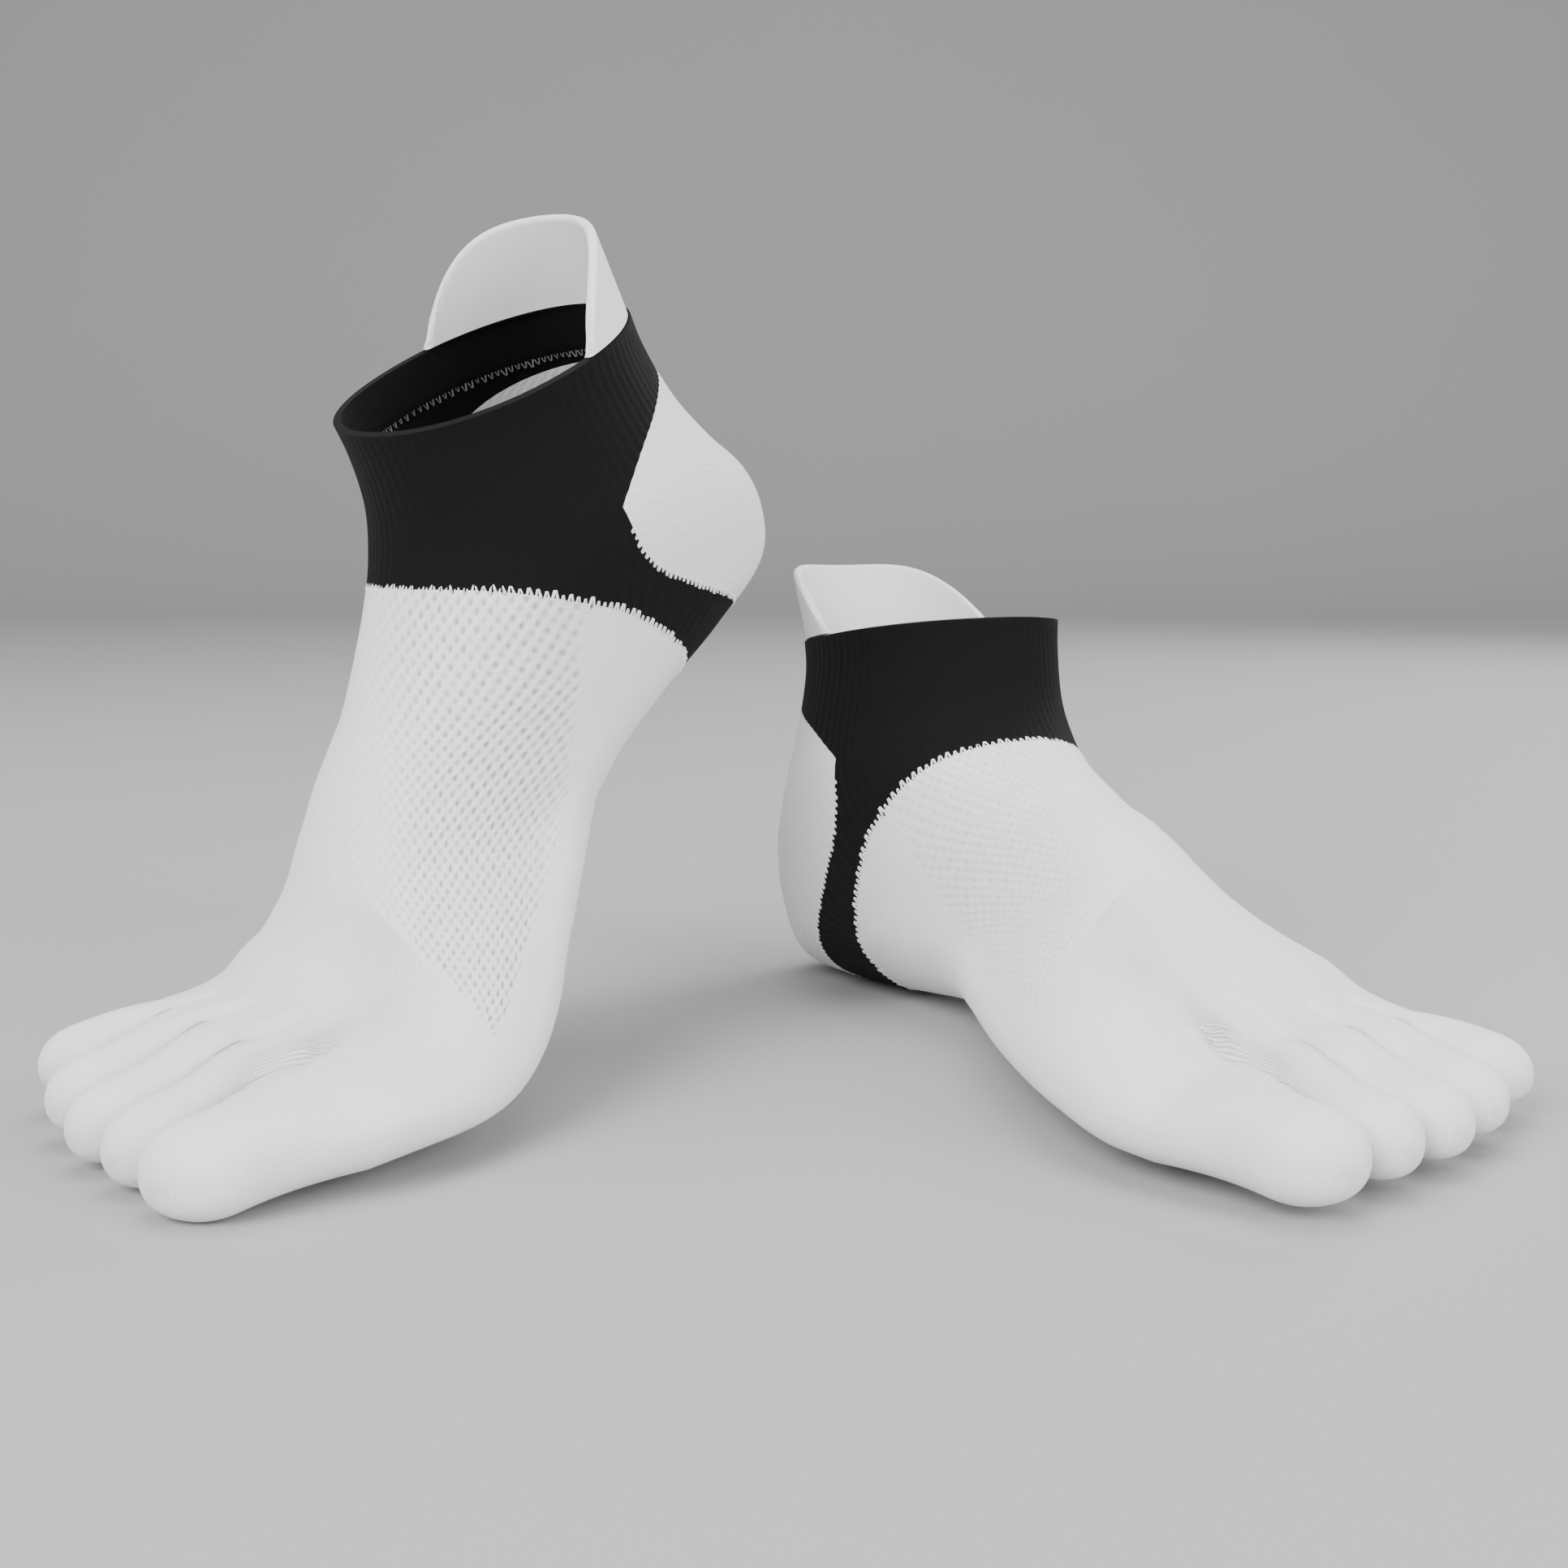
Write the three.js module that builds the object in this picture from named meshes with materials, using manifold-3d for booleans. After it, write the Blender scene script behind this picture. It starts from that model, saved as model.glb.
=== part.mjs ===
// A pair of toe socks with a low cuff, filled out as if worn and standing as the pair is shown:
// the right sock on tiptoe and the left sock flat. Millimetres, +Z up. Each sock is one knitted
// foot with five toes, a dark ankle band whose strap runs under the heel, a heel pocket and a
// pull tab at the back. Both socks are made from one table of a straight foot, then bent at the
// ankle and at the ball, and set down. The origin is the middle of the right sock's opening.
import * as THREE from "three";
import { mergeVertices } from "three/addons/utils/BufferGeometryUtils.js";
import Module from "manifold-3d";

const wasm = await Module();
wasm.setup();

// Thickness of the cloth, and the gap that two pieces keep at their seam.
const FOOT_WALL = 1.8;
const TAB_WALL = 2.4;
const SEAM_GAP = 0.3;

// The straight foot: s runs forward from the heel, m towards the inner side, h up from the sole.
// Each section has a front (upper) point, a back (lower) point, its reach to the inner and outer
// side, how far its crown leans to the inner side, how it slants forward on that side, how far
// the arch lifts the sole there, and how square the sole is.
const SECTION_COLUMNS = [
  "frontS", "frontH", "backS", "backH", "inner", "outer", "lean", "slant", "arch", "sole",
];
const SECTION_ROWS = {
  collar: [104.5, 100, 23, 100, 30.5, 31, 0, 0, 0, 2.1],
  cuff: [103, 91, 20.5, 90, 29.5, 31.5, 0, 0, 0, 2.1],
  ankle: [103, 79, 16, 74, 31.5, 32.5, 0, 0, 0, 2.1],
  ankleBones: [108, 71, 7.5, 54, 34, 34, 0, 0, 0, 2.1],
  upperHeel: [117, 66.5, -0.5, 35, 33.5, 33.5, 0, 0, 0, 2.2],
  heel: [127, 63.5, -1, 17, 31, 33, 0, 0, 0, 2.3],
  lowerHeel: [138, 61, 8, 3, 28.5, 33.5, 1, 0, 1, 2.4],
  heelPad: [148, 58, 33, 0, 26, 33.5, 2, 0, 4, 2.4],
  backArch: [157.5, 54, 63, 1, 25, 33.5, 3, 0.02, 9, 2.4],
  midArch: [166.5, 48.5, 92, 3, 27, 34.5, 5, 0.06, 10, 2.4],
  frontArch: [176, 42, 120, 3, 37.5, 37, 6, 0.12, 6, 2.4],
  backBall: [186, 36, 146.5, 0.5, 47, 42.5, 7, 0.2, 2, 2.4],
  ball: [197, 31, 167.5, -1, 53, 47.5, 6, 0.28, 0, 2.4],
  frontBall: [206, 26, 183.5, -2, 55, 49.5, 5, 0.34, 0, 2.4],
  toeRoots: [213.5, 23.5, 199, -3, 54.5, 51.5, 3, 0.36, 0, 2.5],
  webs: [220.5, 22, 213.5, -3, 51.5, 53.5, 1, 0.36, 0, 2.6],
};
const CROWN = 2.2;

// Rings of the outer skin and of the plainer inner skin, in steps along the sections.
const OUTER_STEP = 0.6;
const INNER_STEP = 1.25;

// The toes: width at the root, tip of the toe, and the width and height of its end.
const TOE_COLUMNS = ["rootWidth", "tipS", "tipM", "width", "height"];
const TOE_ROWS = {
  great: [27, 271, 30, 24.5, 19],
  second: [20, 263, 8, 17.8, 16.6],
  third: [18.5, 257, -10.5, 17.2, 16],
  fourth: [18, 247.5, -28.5, 17.2, 15.8],
  little: [18.5, 232.5, -49.5, 18, 15],
};
const TOE_STATIONS = [0.1, 0.28, 0.5, 0.7, 0.84, 0.94];
const TOE_ARCH = 1.5;
const TOE_FLOW = 0.6;
const TOE_GAP = 0.5;
const TOE_CAP = 0.62;
const TOE_POINTS = 3;
const SIDE_POINTS = 2;
const ROOTS_REACH = 0.95;
const WEB_DIP = 1.7;
const WEB_SETBACK = 0.35;

// How many sections before the toes the ring turns into line with them, and the webs start to dip.
const TOEWARD_FROM = 4;
const TOEWARD_TO = 1;
const DIP_FROM = 2.2;
const SLOPE_STEP = 0.2;

// The pull tab rises from the collar round the back of the opening. It reaches this many degrees to
// the inner and outer side at its foot, and narrows upward, fastest at its foot. Its top is level
// between two round corners.
const TAB = {
  rise: 23, shoulder: 1.2, inner: 88, outer: 73, narrowing: 19, taper: 0.7,
  cornerPower: 4, cornerRound: 0.45, columns: 20, rows: 6,
};

// Knitted edges in the side view: the heel pocket's two edges meet in a corner, and the foot's
// edge runs over the instep and down to the sole.
const HEEL_UPPER_EDGE = [[-12, 85], [28, 82], [50, 76], [69.5, 66.5]];
const HEEL_LOWER_EDGE = [[69.5, 66.5], [67, 50], [52, 29], [36, 8], [26, -14]];
const FOOT_EDGE = [[140, 75], [111, 70], [89, 54], [76, 38], [65, 14], [58, -14]];
const EDGE_STEPS = 9;
const CORNER_MITRE = 0.6;
const REACH = 320;

// How a foot bends: about the ankle and about the ball, each by a share that grows over its zone.
const ANKLE = { s: 64, h: 66, fanS: 186, fanH: 83, from: -4, to: 28 };
const BALL = { s: 180, h: 12, rise: 0.9, slant: 0.35, from: 125, to: 205 };

// How each sock stands: turned about the ball, bent, and set down, with the floor at height 0.
const SOCKS = {
  right: {
    mirror: 1, heading: -124, pitch: 40, roll: 0, point: 15, toesUp: 33.5, tabLean: 3.5,
    x: -87.5, y: 29.5,
  },
  left: {
    mirror: -1, heading: -64, pitch: -1.5, roll: 0, point: 6.5, toesUp: -3.5, tabLean: -7,
    x: 92.5, y: 26.5,
  },
};
const PIVOT_S = 180;

const WHITE = new THREE.MeshStandardMaterial({ color: 0xe6e5e3, roughness: 0.9, metalness: 0 });
const BLACK = new THREE.MeshStandardMaterial({ color: 0x151516, roughness: 0.85, metalness: 0 });

const radians = THREE.MathUtils.degToRad;
const smooth = THREE.MathUtils.smoothstep;
const mix = THREE.MathUtils.lerp;

function named(columns, row) {
  return Object.fromEntries(columns.map((column, i) => [column, row[i]]));
}

const SECTIONS = Object.values(SECTION_ROWS).map((row) => named(SECTION_COLUMNS, row));
const TOES = Object.values(TOE_ROWS).map((row) => named(TOE_COLUMNS, row));
const LAST_SECTION = SECTIONS.length - 1;

// Everything about the section at a place along the table, on a smooth curve through its rows.
function sectionAt(place) {
  const i = Math.min(Math.floor(place), LAST_SECTION - 1);
  const u = place - i;
  const after = SECTIONS[i + 1];
  const section = {};
  for (const column of SECTION_COLUMNS) {
    const p1 = SECTIONS[i][column];
    const p2 = after[column];
    const p0 = i > 0 ? SECTIONS[i - 1][column] : 2 * p1 - p2;
    const p3 = i + 2 <= LAST_SECTION ? SECTIONS[i + 2][column] : 2 * p2 - p1;
    const a = 2 * p0 - 5 * p1 + 4 * p2 - p3;
    const b = 3 * p1 - p0 - 3 * p2 + p3;
    section[column] = 0.5 * (2 * p1 + (p2 - p0) * u + a * u * u + b * u * u * u);
  }
  return section;
}

// Points of a ring: over the crown from the inner to the outer side, down that side, back under
// the sole, and up the inner side. The crown and the sole have one stretch for each toe.
const CROWN_POINTS = TOES.length * TOE_POINTS + 1;
const RING_POINTS = 2 * (CROWN_POINTS + SIDE_POINTS);
const SOLE_START = CROWN_POINTS + SIDE_POINTS;

// Where the toes part across the foot, from 1 at the inner side to -1 at the outer side.
function toeBounds() {
  const total = TOES.reduce((sum, toe) => sum + toe.rootWidth, 0);
  const bounds = [ROOTS_REACH];
  for (const toe of TOES) {
    bounds.push(bounds[bounds.length - 1] - (2 * ROOTS_REACH * toe.rootWidth) / total);
  }
  return bounds;
}

const BOUNDS = toeBounds();

// The angle of a crown point, even round the ankle and in line with the toes at their roots.
function crownAngle(point, toeward, power) {
  const toe = Math.min(Math.floor(point / TOE_POINTS), TOES.length - 1);
  const across = mix(BOUNDS[toe], BOUNDS[toe + 1], point / TOE_POINTS - toe);
  const aligned = Math.sign(across) * Math.asin(Math.abs(across) ** (power / 2));
  const even = Math.PI * ((CROWN_POINTS - 1) / 2 - point) * (2 / RING_POINTS);
  return mix(even, aligned, toeward);
}

function ringAngle(point, toeward, sole) {
  if (point < CROWN_POINTS) {
    return crownAngle(point, toeward, CROWN);
  }
  if (point >= SOLE_START && point < SOLE_START + CROWN_POINTS) {
    return -Math.PI - crownAngle(SOLE_START + CROWN_POINTS - 1 - point, toeward, sole);
  }
  const outer = point < SOLE_START;
  const step = (point - (outer ? CROWN_POINTS : SOLE_START + CROWN_POINTS) + 1) / (SIDE_POINTS + 1);
  const crownEdge = crownAngle(outer ? CROWN_POINTS - 1 : 0, toeward, CROWN);
  const soleEdge = -Math.PI - crownAngle(outer ? CROWN_POINTS - 1 : 0, toeward, sole);
  return outer ? mix(crownEdge, soleEdge, step) : mix(soleEdge, crownEdge - 2 * Math.PI, step);
}

// How much a point lies in the groove between two toes, from 0 to 1.
function groove(point) {
  const inCrown = point > 0 && point < CROWN_POINTS - 1;
  const solePoint = point - SOLE_START;
  const inSole = solePoint > 0 && solePoint < CROWN_POINTS - 1;
  const onBound = (inCrown && point % TOE_POINTS === 0) || (inSole && solePoint % TOE_POINTS === 0);
  return onBound ? 1 : 0;
}

// One point on the outside of the foot.
function outerPoint(place, point) {
  const section = sectionAt(place);
  const toeward = smooth(place, LAST_SECTION - TOEWARD_FROM, LAST_SECTION - TOEWARD_TO);
  const angle = ringAngle(point, toeward, section.sole);
  const power = 2 / (Math.cos(angle) < 0 ? section.sole : CROWN);
  const across = Math.sign(Math.sin(angle)) * Math.abs(Math.sin(angle)) ** power;
  const rise = Math.sign(Math.cos(angle)) * Math.abs(Math.cos(angle)) ** power;
  const m = across * (across > 0 ? section.inner : section.outer) + section.lean * Math.max(rise, 0) ** 2;
  const front = new THREE.Vector2(section.frontS, section.frontH);
  const back = new THREE.Vector2(section.backS, section.backH);
  const half = front.clone().sub(back).multiplyScalar(0.5);
  const middle = front.add(back).multiplyScalar(0.5);
  const dip = groove(point) * WEB_DIP * smooth(place, LAST_SECTION - DIP_FROM, LAST_SECTION);
  const side = middle.addScaledVector(half, rise - (Math.sign(rise) * dip) / half.length());
  const lift = section.arch * Math.max(across, 0) ** 2 * Math.max(-rise, 0);
  return new THREE.Vector3(side.x + section.slant * m, m, side.y + lift);
}

// The same point moved in by inset, square to the cloth. The collar's rim stays level.
function skinPoint(place, point, inset) {
  const vertex = outerPoint(place, point);
  if (inset === 0) {
    return vertex;
  }
  const along = outerPoint(Math.min(place + SLOPE_STEP, LAST_SECTION), point);
  along.sub(outerPoint(Math.max(place - SLOPE_STEP, 0), point));
  const around = outerPoint(place, (point + 1) % RING_POINTS);
  around.sub(outerPoint(place, (point + RING_POINTS - 1) % RING_POINTS));
  const inward = along.cross(around).normalize();
  if (place === 0) {
    inward.setZ(0).normalize();
  }
  return vertex.addScaledVector(inward, inset);
}

// A mesh under construction: vertices in the straight foot's own s, m, h, and triangles.
class Builder {
  constructor() {
    this.vertices = [];
    this.triangles = [];
  }

  add(vertex) {
    this.vertices.push(vertex);
    return this.vertices.length - 1;
  }

  ring(vertices) {
    return vertices.map((vertex) => this.add(vertex));
  }

  strip(from, to, closed = true) {
    const count = closed ? from.length : from.length - 1;
    for (let i = 0; i < count; i++) {
      const j = (i + 1) % from.length;
      this.triangles.push([from[i], to[j], to[i]], [from[i], from[j], to[j]]);
    }
  }

  fan(ring, pole) {
    for (let i = 0; i < ring.length; i++) {
      this.triangles.push([ring[i], ring[(i + 1) % ring.length], pole]);
    }
  }

  solid() {
    const vertProperties = new Float32Array(this.vertices.flatMap((v) => [v.x, v.y, v.z]));
    const triVerts = new Uint32Array(this.triangles.flat());
    return new wasm.Manifold(new wasm.Mesh({ numProp: 3, vertProperties, triVerts }));
  }
}

// One toe from its ring of root points to its rounded end. A side that faces another toe is drawn
// in at once, to leave a gap; the rest flows on from the foot.
function addToe(builder, toe, root, inset, free) {
  const base = root.map((index) => builder.vertices[index]);
  const centre = new THREE.Vector3();
  base.forEach((point) => centre.addScaledVector(point, 1 / base.length));
  const tip = new THREE.Vector3(toe.tipS - inset, toe.tipM, toe.height / 2);
  const length = tip.x - centre.x;
  const capLength = TOE_CAP * toe.height;
  let before = root;
  for (const station of TOE_STATIONS) {
    const middle = centre.clone().lerp(tip, station);
    middle.z += TOE_ARCH * Math.sin(Math.PI * station);
    const inCap = Math.max(0, 1 - (length * (1 - station)) / capLength);
    const end = Math.sqrt(1 - inCap ** CROWN);
    const room = mix(toe.rootWidth, toe.width, station) / 2 - inset - (1 - station) * TOE_GAP;
    const ring = base.map((start, i) => {
      const angle = Math.PI * (0.25 - (2 * i) / base.length);
      const power = 2 / CROWN;
      const across = Math.sign(Math.sin(angle)) * Math.abs(Math.sin(angle)) ** power;
      const rise = Math.sign(Math.cos(angle)) * Math.abs(Math.cos(angle)) ** power;
      const round = new THREE.Vector3(
        middle.x,
        middle.y + across * (toe.width / 2 - inset) * end,
        middle.z + rise * (toe.height / 2 - inset) * end,
      );
      const flow = start.clone().sub(centre).add(middle);
      const point = flow.lerp(round, smooth(station, 0, TOE_FLOW));
      const side = across > 0 ? "inner" : "outer";
      const offset = point.y - middle.y;
      point.y = middle.y + (free[side] ? offset : THREE.MathUtils.clamp(offset, -room, room));
      return point;
    });
    const after = builder.ring(ring);
    builder.strip(before, after);
    before = after;
  }
  builder.fan(before, builder.add(tip));
}

// A whole skin from the collar to the tips of the toes, returning its rim.
function addSkin(builder, inset, step) {
  const last = LAST_SECTION - (inset > 0 ? WEB_SETBACK : 0);
  const count = Math.round(last / step);
  const rings = [];
  for (let i = 0; i <= count; i++) {
    const points = [];
    for (let point = 0; point < RING_POINTS; point++) {
      points.push(skinPoint((last * i) / count, point, inset));
    }
    rings.push(builder.ring(points));
  }
  for (let i = 0; i < count; i++) {
    builder.strip(rings[i], rings[i + 1]);
  }
  addToes(builder, rings[count], inset);
  return rings[0];
}

// The five toes on the last ring, with a line of web points between each two.
function addToes(builder, ring, inset) {
  const crown = ring.slice(0, CROWN_POINTS);
  const outerSide = ring.slice(CROWN_POINTS, SOLE_START);
  const sole = ring.slice(SOLE_START, SOLE_START + CROWN_POINTS).reverse();
  const innerSide = ring.slice(SOLE_START + CROWN_POINTS);
  let innerWeb = innerSide;
  TOES.forEach((toe, i) => {
    const start = i * TOE_POINTS;
    const end = start + TOE_POINTS;
    let outerWeb = outerSide;
    if (i < TOES.length - 1) {
      const top = builder.vertices[crown[end]];
      const bottom = builder.vertices[sole[end]];
      outerWeb = [];
      for (let k = 1; k <= SIDE_POINTS; k++) {
        outerWeb.push(builder.add(top.clone().lerp(bottom, k / (SIDE_POINTS + 1))));
      }
    }
    const top = crown.slice(start, end + 1);
    const bottom = sole.slice(start, end + 1).reverse();
    const free = { inner: i === 0, outer: i === TOES.length - 1 };
    addToe(builder, toe, [...top, ...outerWeb, ...bottom, ...innerWeb], inset, free);
    innerWeb = [...outerWeb].reverse();
  });
}

// The sock's wall in one piece: an outer and an inner skin joined round the collar.
function sockWall() {
  const outer = new Builder();
  const outerRim = addSkin(outer, 0, OUTER_STEP);
  const inner = new Builder();
  const innerRim = addSkin(inner, FOOT_WALL, INNER_STEP);
  const shift = outer.vertices.length;
  outer.vertices.push(...inner.vertices);
  outer.triangles.push(...inner.triangles.map(([a, b, c]) => [a + shift, c + shift, b + shift]));
  outer.strip(innerRim.map((index) => index + shift), outerRim);
  return outer.solid();
}

// The pull tab: a two-layer wall on the collar's own line, with a rounded top.
function pullTab() {
  const face = (inset) => {
    const rows = [];
    for (let row = 0; row <= TAB.rows; row++) {
      const points = [];
      for (let column = 0; column <= TAB.columns; column++) {
        points.push(tabPoint((2 * column) / TAB.columns - 1, row / TAB.rows, inset));
      }
      rows.push(points);
    }
    return rows;
  };
  const builder = new Builder();
  const outer = face(0).map((row) => builder.ring(row));
  const inner = face(TAB_WALL).map((row) => builder.ring(row));
  for (let row = 0; row < TAB.rows; row++) {
    builder.strip(outer[row + 1], outer[row], false);
    builder.strip(inner[row], inner[row + 1], false);
  }
  builder.strip(outer[0], inner[0], false);
  builder.strip(inner[TAB.rows], outer[TAB.rows], false);
  const column = (rows, at) => rows.map((row) => row[at]);
  builder.strip(column(inner, 0), column(outer, 0), false);
  builder.strip(column(outer, TAB.columns), column(inner, TAB.columns), false);
  return builder.solid();
}

// A point of the tab: across from -1 to 1 round the back, up from 0 at the collar to 1 on top.
function tabPoint(across, up, inset) {
  const collar = SECTIONS[0];
  const topEdge = (1 - Math.abs(across) ** TAB.cornerPower) ** TAB.cornerRound;
  const rise = SEAM_GAP + (TAB.shoulder + (TAB.rise - TAB.shoulder) * topEdge) * up;
  const narrowing = TAB.narrowing * (rise / TAB.rise) ** TAB.taper;
  const spread = (across > 0 ? TAB.inner : TAB.outer) - narrowing;
  const angle = radians(180 - across * spread);
  const depth = (collar.frontS - collar.backS) / 2 - inset;
  const reach = (Math.sin(angle) > 0 ? collar.inner : collar.outer) - inset;
  const middle = (collar.frontS + collar.backS) / 2;
  const s = middle + depth * Math.cos(angle);
  return new THREE.Vector3(s, reach * Math.sin(angle), collar.frontH + rise);
}

// Points of an edge in the side view, on one curve, moved sideways by a distance.
function edgePoints(marks, distance) {
  const curve = new THREE.SplineCurve(marks.map(([s, h]) => new THREE.Vector2(s, h)));
  const points = [];
  for (let i = 0; i <= EDGE_STEPS; i++) {
    const tangent = curve.getTangent(i / EDGE_STEPS);
    const normal = new THREE.Vector2(tangent.y, -tangent.x);
    points.push(curve.getPoint(i / EDGE_STEPS).addScaledVector(normal, distance));
  }
  return points;
}

// A side-view outline as a solid right across the sock.
function acrossSolid(points) {
  const shape = new THREE.Shape(points);
  const geometry = new THREE.ExtrudeGeometry(shape, { depth: REACH, bevelEnabled: false });
  geometry.translate(0, 0, -REACH / 2);
  geometry.rotateX(Math.PI / 2);
  geometry.deleteAttribute("normal");
  geometry.deleteAttribute("uv");
  const merged = mergeVertices(geometry);
  const vertProperties = new Float32Array(merged.attributes.position.array);
  const triVerts = new Uint32Array(merged.index.array);
  return new wasm.Manifold(new wasm.Mesh({ numProp: 3, vertProperties, triVerts }));
}

// The heel's edge without and with half a seam of room, and the foot's edge likewise.
function heelOutline(distance) {
  const upper = edgePoints(HEEL_UPPER_EDGE, distance);
  const lower = edgePoints(HEEL_LOWER_EDGE, distance);
  const corner = upper[EDGE_STEPS].clone();
  corner.x -= distance * CORNER_MITRE;
  return [
    ...upper.slice(0, -1),
    corner,
    ...lower.slice(1),
    new THREE.Vector2(-REACH, HEEL_LOWER_EDGE.at(-1)[1]),
    new THREE.Vector2(-REACH, HEEL_UPPER_EDGE[0][1]),
  ];
}

function footOutline(distance) {
  return [
    ...edgePoints(FOOT_EDGE, distance),
    new THREE.Vector2(FOOT_EDGE.at(-1)[0], -REACH),
    new THREE.Vector2(REACH, -REACH),
    new THREE.Vector2(REACH, FOOT_EDGE[0][1]),
  ];
}

// The straight foot's pieces, each as a solid.
function sockPieces() {
  const wall = sockWall();
  const half = SEAM_GAP / 2;
  return {
    foot: wall.intersect(acrossSolid(footOutline(-half))),
    ankle_band: wall
      .subtract(acrossSolid(footOutline(half)))
      .subtract(acrossSolid(heelOutline(-half))),
    heel_pocket: wall.intersect(acrossSolid(heelOutline(half))),
    pull_tab: pullTab(),
  };
}

function turnAbout(point, pivot, angle) {
  const s = point.x - pivot.s;
  const h = point.z - pivot.h;
  point.x = pivot.s + s * Math.cos(angle) - h * Math.sin(angle);
  point.z = pivot.h + s * Math.sin(angle) + h * Math.cos(angle);
}

// Bends a point of the straight foot as the ankle and the ball bend, and mirrors the left sock.
function bend(point, sock) {
  const fan = THREE.MathUtils.radToDeg(Math.atan2(ANKLE.fanH - point.z, ANKLE.fanS - point.x));
  const legShare = 1 - smooth(fan, ANKLE.from, ANKLE.to);
  const toeward = point.x - BALL.rise * point.z - BALL.slant * point.y;
  const toeShare = smooth(toeward, BALL.from, BALL.to);
  const bent = point.clone();
  const tabShare = Math.max(0, point.z - SECTIONS[0].frontH) / TAB.rise;
  bent.x += sock.tabLean * tabShare;
  turnAbout(bent, ANKLE, radians(sock.point) * legShare);
  turnAbout(bent, BALL, radians(sock.toesUp) * toeShare);
  return new THREE.Vector3(bent.x - PIVOT_S, bent.y * sock.mirror, bent.z);
}

// A solid's triangles as a geometry, each vertex bent with the sock.
function bentGeometry(solid, sock) {
  const { numProp, vertProperties, triVerts } = solid.getMesh();
  const positions = [];
  for (let i = 0; i < vertProperties.length; i += numProp) {
    const point = new THREE.Vector3(vertProperties[i], vertProperties[i + 1], vertProperties[i + 2]);
    positions.push(...bend(point, sock).toArray());
  }
  const index = Array.from(triVerts);
  if (sock.mirror < 0) {
    index.reverse();
  }
  const geometry = new THREE.BufferGeometry();
  geometry.setAttribute("position", new THREE.Float32BufferAttribute(positions, 3));
  geometry.setIndex(index);
  geometry.computeVertexNormals();
  return geometry;
}

// One sock as a group, turned and set down so that its lowest point is on the floor.
function sockGroup(name, sock, pieces) {
  const group = new THREE.Group();
  group.rotation.set(radians(sock.roll * sock.mirror), radians(sock.pitch), radians(sock.heading), "ZYX");
  group.position.set(sock.x, sock.y, 0);
  for (const [piece, solid] of Object.entries(pieces)) {
    const dark = piece === "ankle_band";
    const mesh = new THREE.Mesh(bentGeometry(solid, sock), dark ? BLACK : WHITE);
    mesh.name = `${name}_${piece}`;
    group.add(mesh);
  }
  group.updateMatrixWorld(true);
  group.position.z -= new THREE.Box3().setFromObject(group, true).min.z;
  group.updateMatrixWorld(true);
  return group;
}

function openingCentre(group, sock) {
  const collar = SECTIONS[0];
  const middle = new THREE.Vector3((collar.frontS + collar.backS) / 2, 0, collar.frontH);
  return group.localToWorld(bend(middle, sock));
}

function pairOfSocks() {
  const pieces = sockPieces();
  const pair = new THREE.Group();
  for (const [name, sock] of Object.entries(SOCKS)) {
    pair.add(sockGroup(name, sock, pieces));
  }
  pair.position.copy(openingCentre(pair.children[0], SOCKS.right)).negate();
  pair.updateMatrixWorld(true);
  return pair;
}

export default pairOfSocks();
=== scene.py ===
"""Dresses a packed pair of toe socks as knitted cloth, with its camera, floor and lights.

Both socks come from one table of a straight foot, in millimetres: s runs forward from the heel,
m towards the inner side and h up from the sole. Every piece is a skin of that foot with its knit
raised on it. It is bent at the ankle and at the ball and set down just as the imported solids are.
"""
from __future__ import annotations

import logging
import math
from collections.abc import Callable, Iterator
from dataclasses import dataclass, field
from enum import Enum

import bpy
import numpy as np
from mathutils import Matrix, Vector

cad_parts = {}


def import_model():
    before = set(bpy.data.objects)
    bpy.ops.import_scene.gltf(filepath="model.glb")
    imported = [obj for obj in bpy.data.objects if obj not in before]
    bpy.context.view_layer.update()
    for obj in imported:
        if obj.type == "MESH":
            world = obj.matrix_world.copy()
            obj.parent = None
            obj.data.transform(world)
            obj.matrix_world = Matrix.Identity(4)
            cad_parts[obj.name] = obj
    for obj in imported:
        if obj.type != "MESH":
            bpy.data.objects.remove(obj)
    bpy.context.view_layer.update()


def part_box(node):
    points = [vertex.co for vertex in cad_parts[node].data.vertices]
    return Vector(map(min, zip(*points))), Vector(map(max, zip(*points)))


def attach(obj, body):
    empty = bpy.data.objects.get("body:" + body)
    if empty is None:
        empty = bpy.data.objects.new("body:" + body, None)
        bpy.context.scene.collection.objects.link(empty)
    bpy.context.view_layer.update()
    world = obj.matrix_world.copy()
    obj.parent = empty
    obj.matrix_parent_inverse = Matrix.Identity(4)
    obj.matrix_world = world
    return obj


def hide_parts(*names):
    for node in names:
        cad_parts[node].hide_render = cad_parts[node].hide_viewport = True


MM = 0.001
BODY = "root"
KNIT_MAP = "knit"
WALES_PER_STEP = 4

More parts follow.
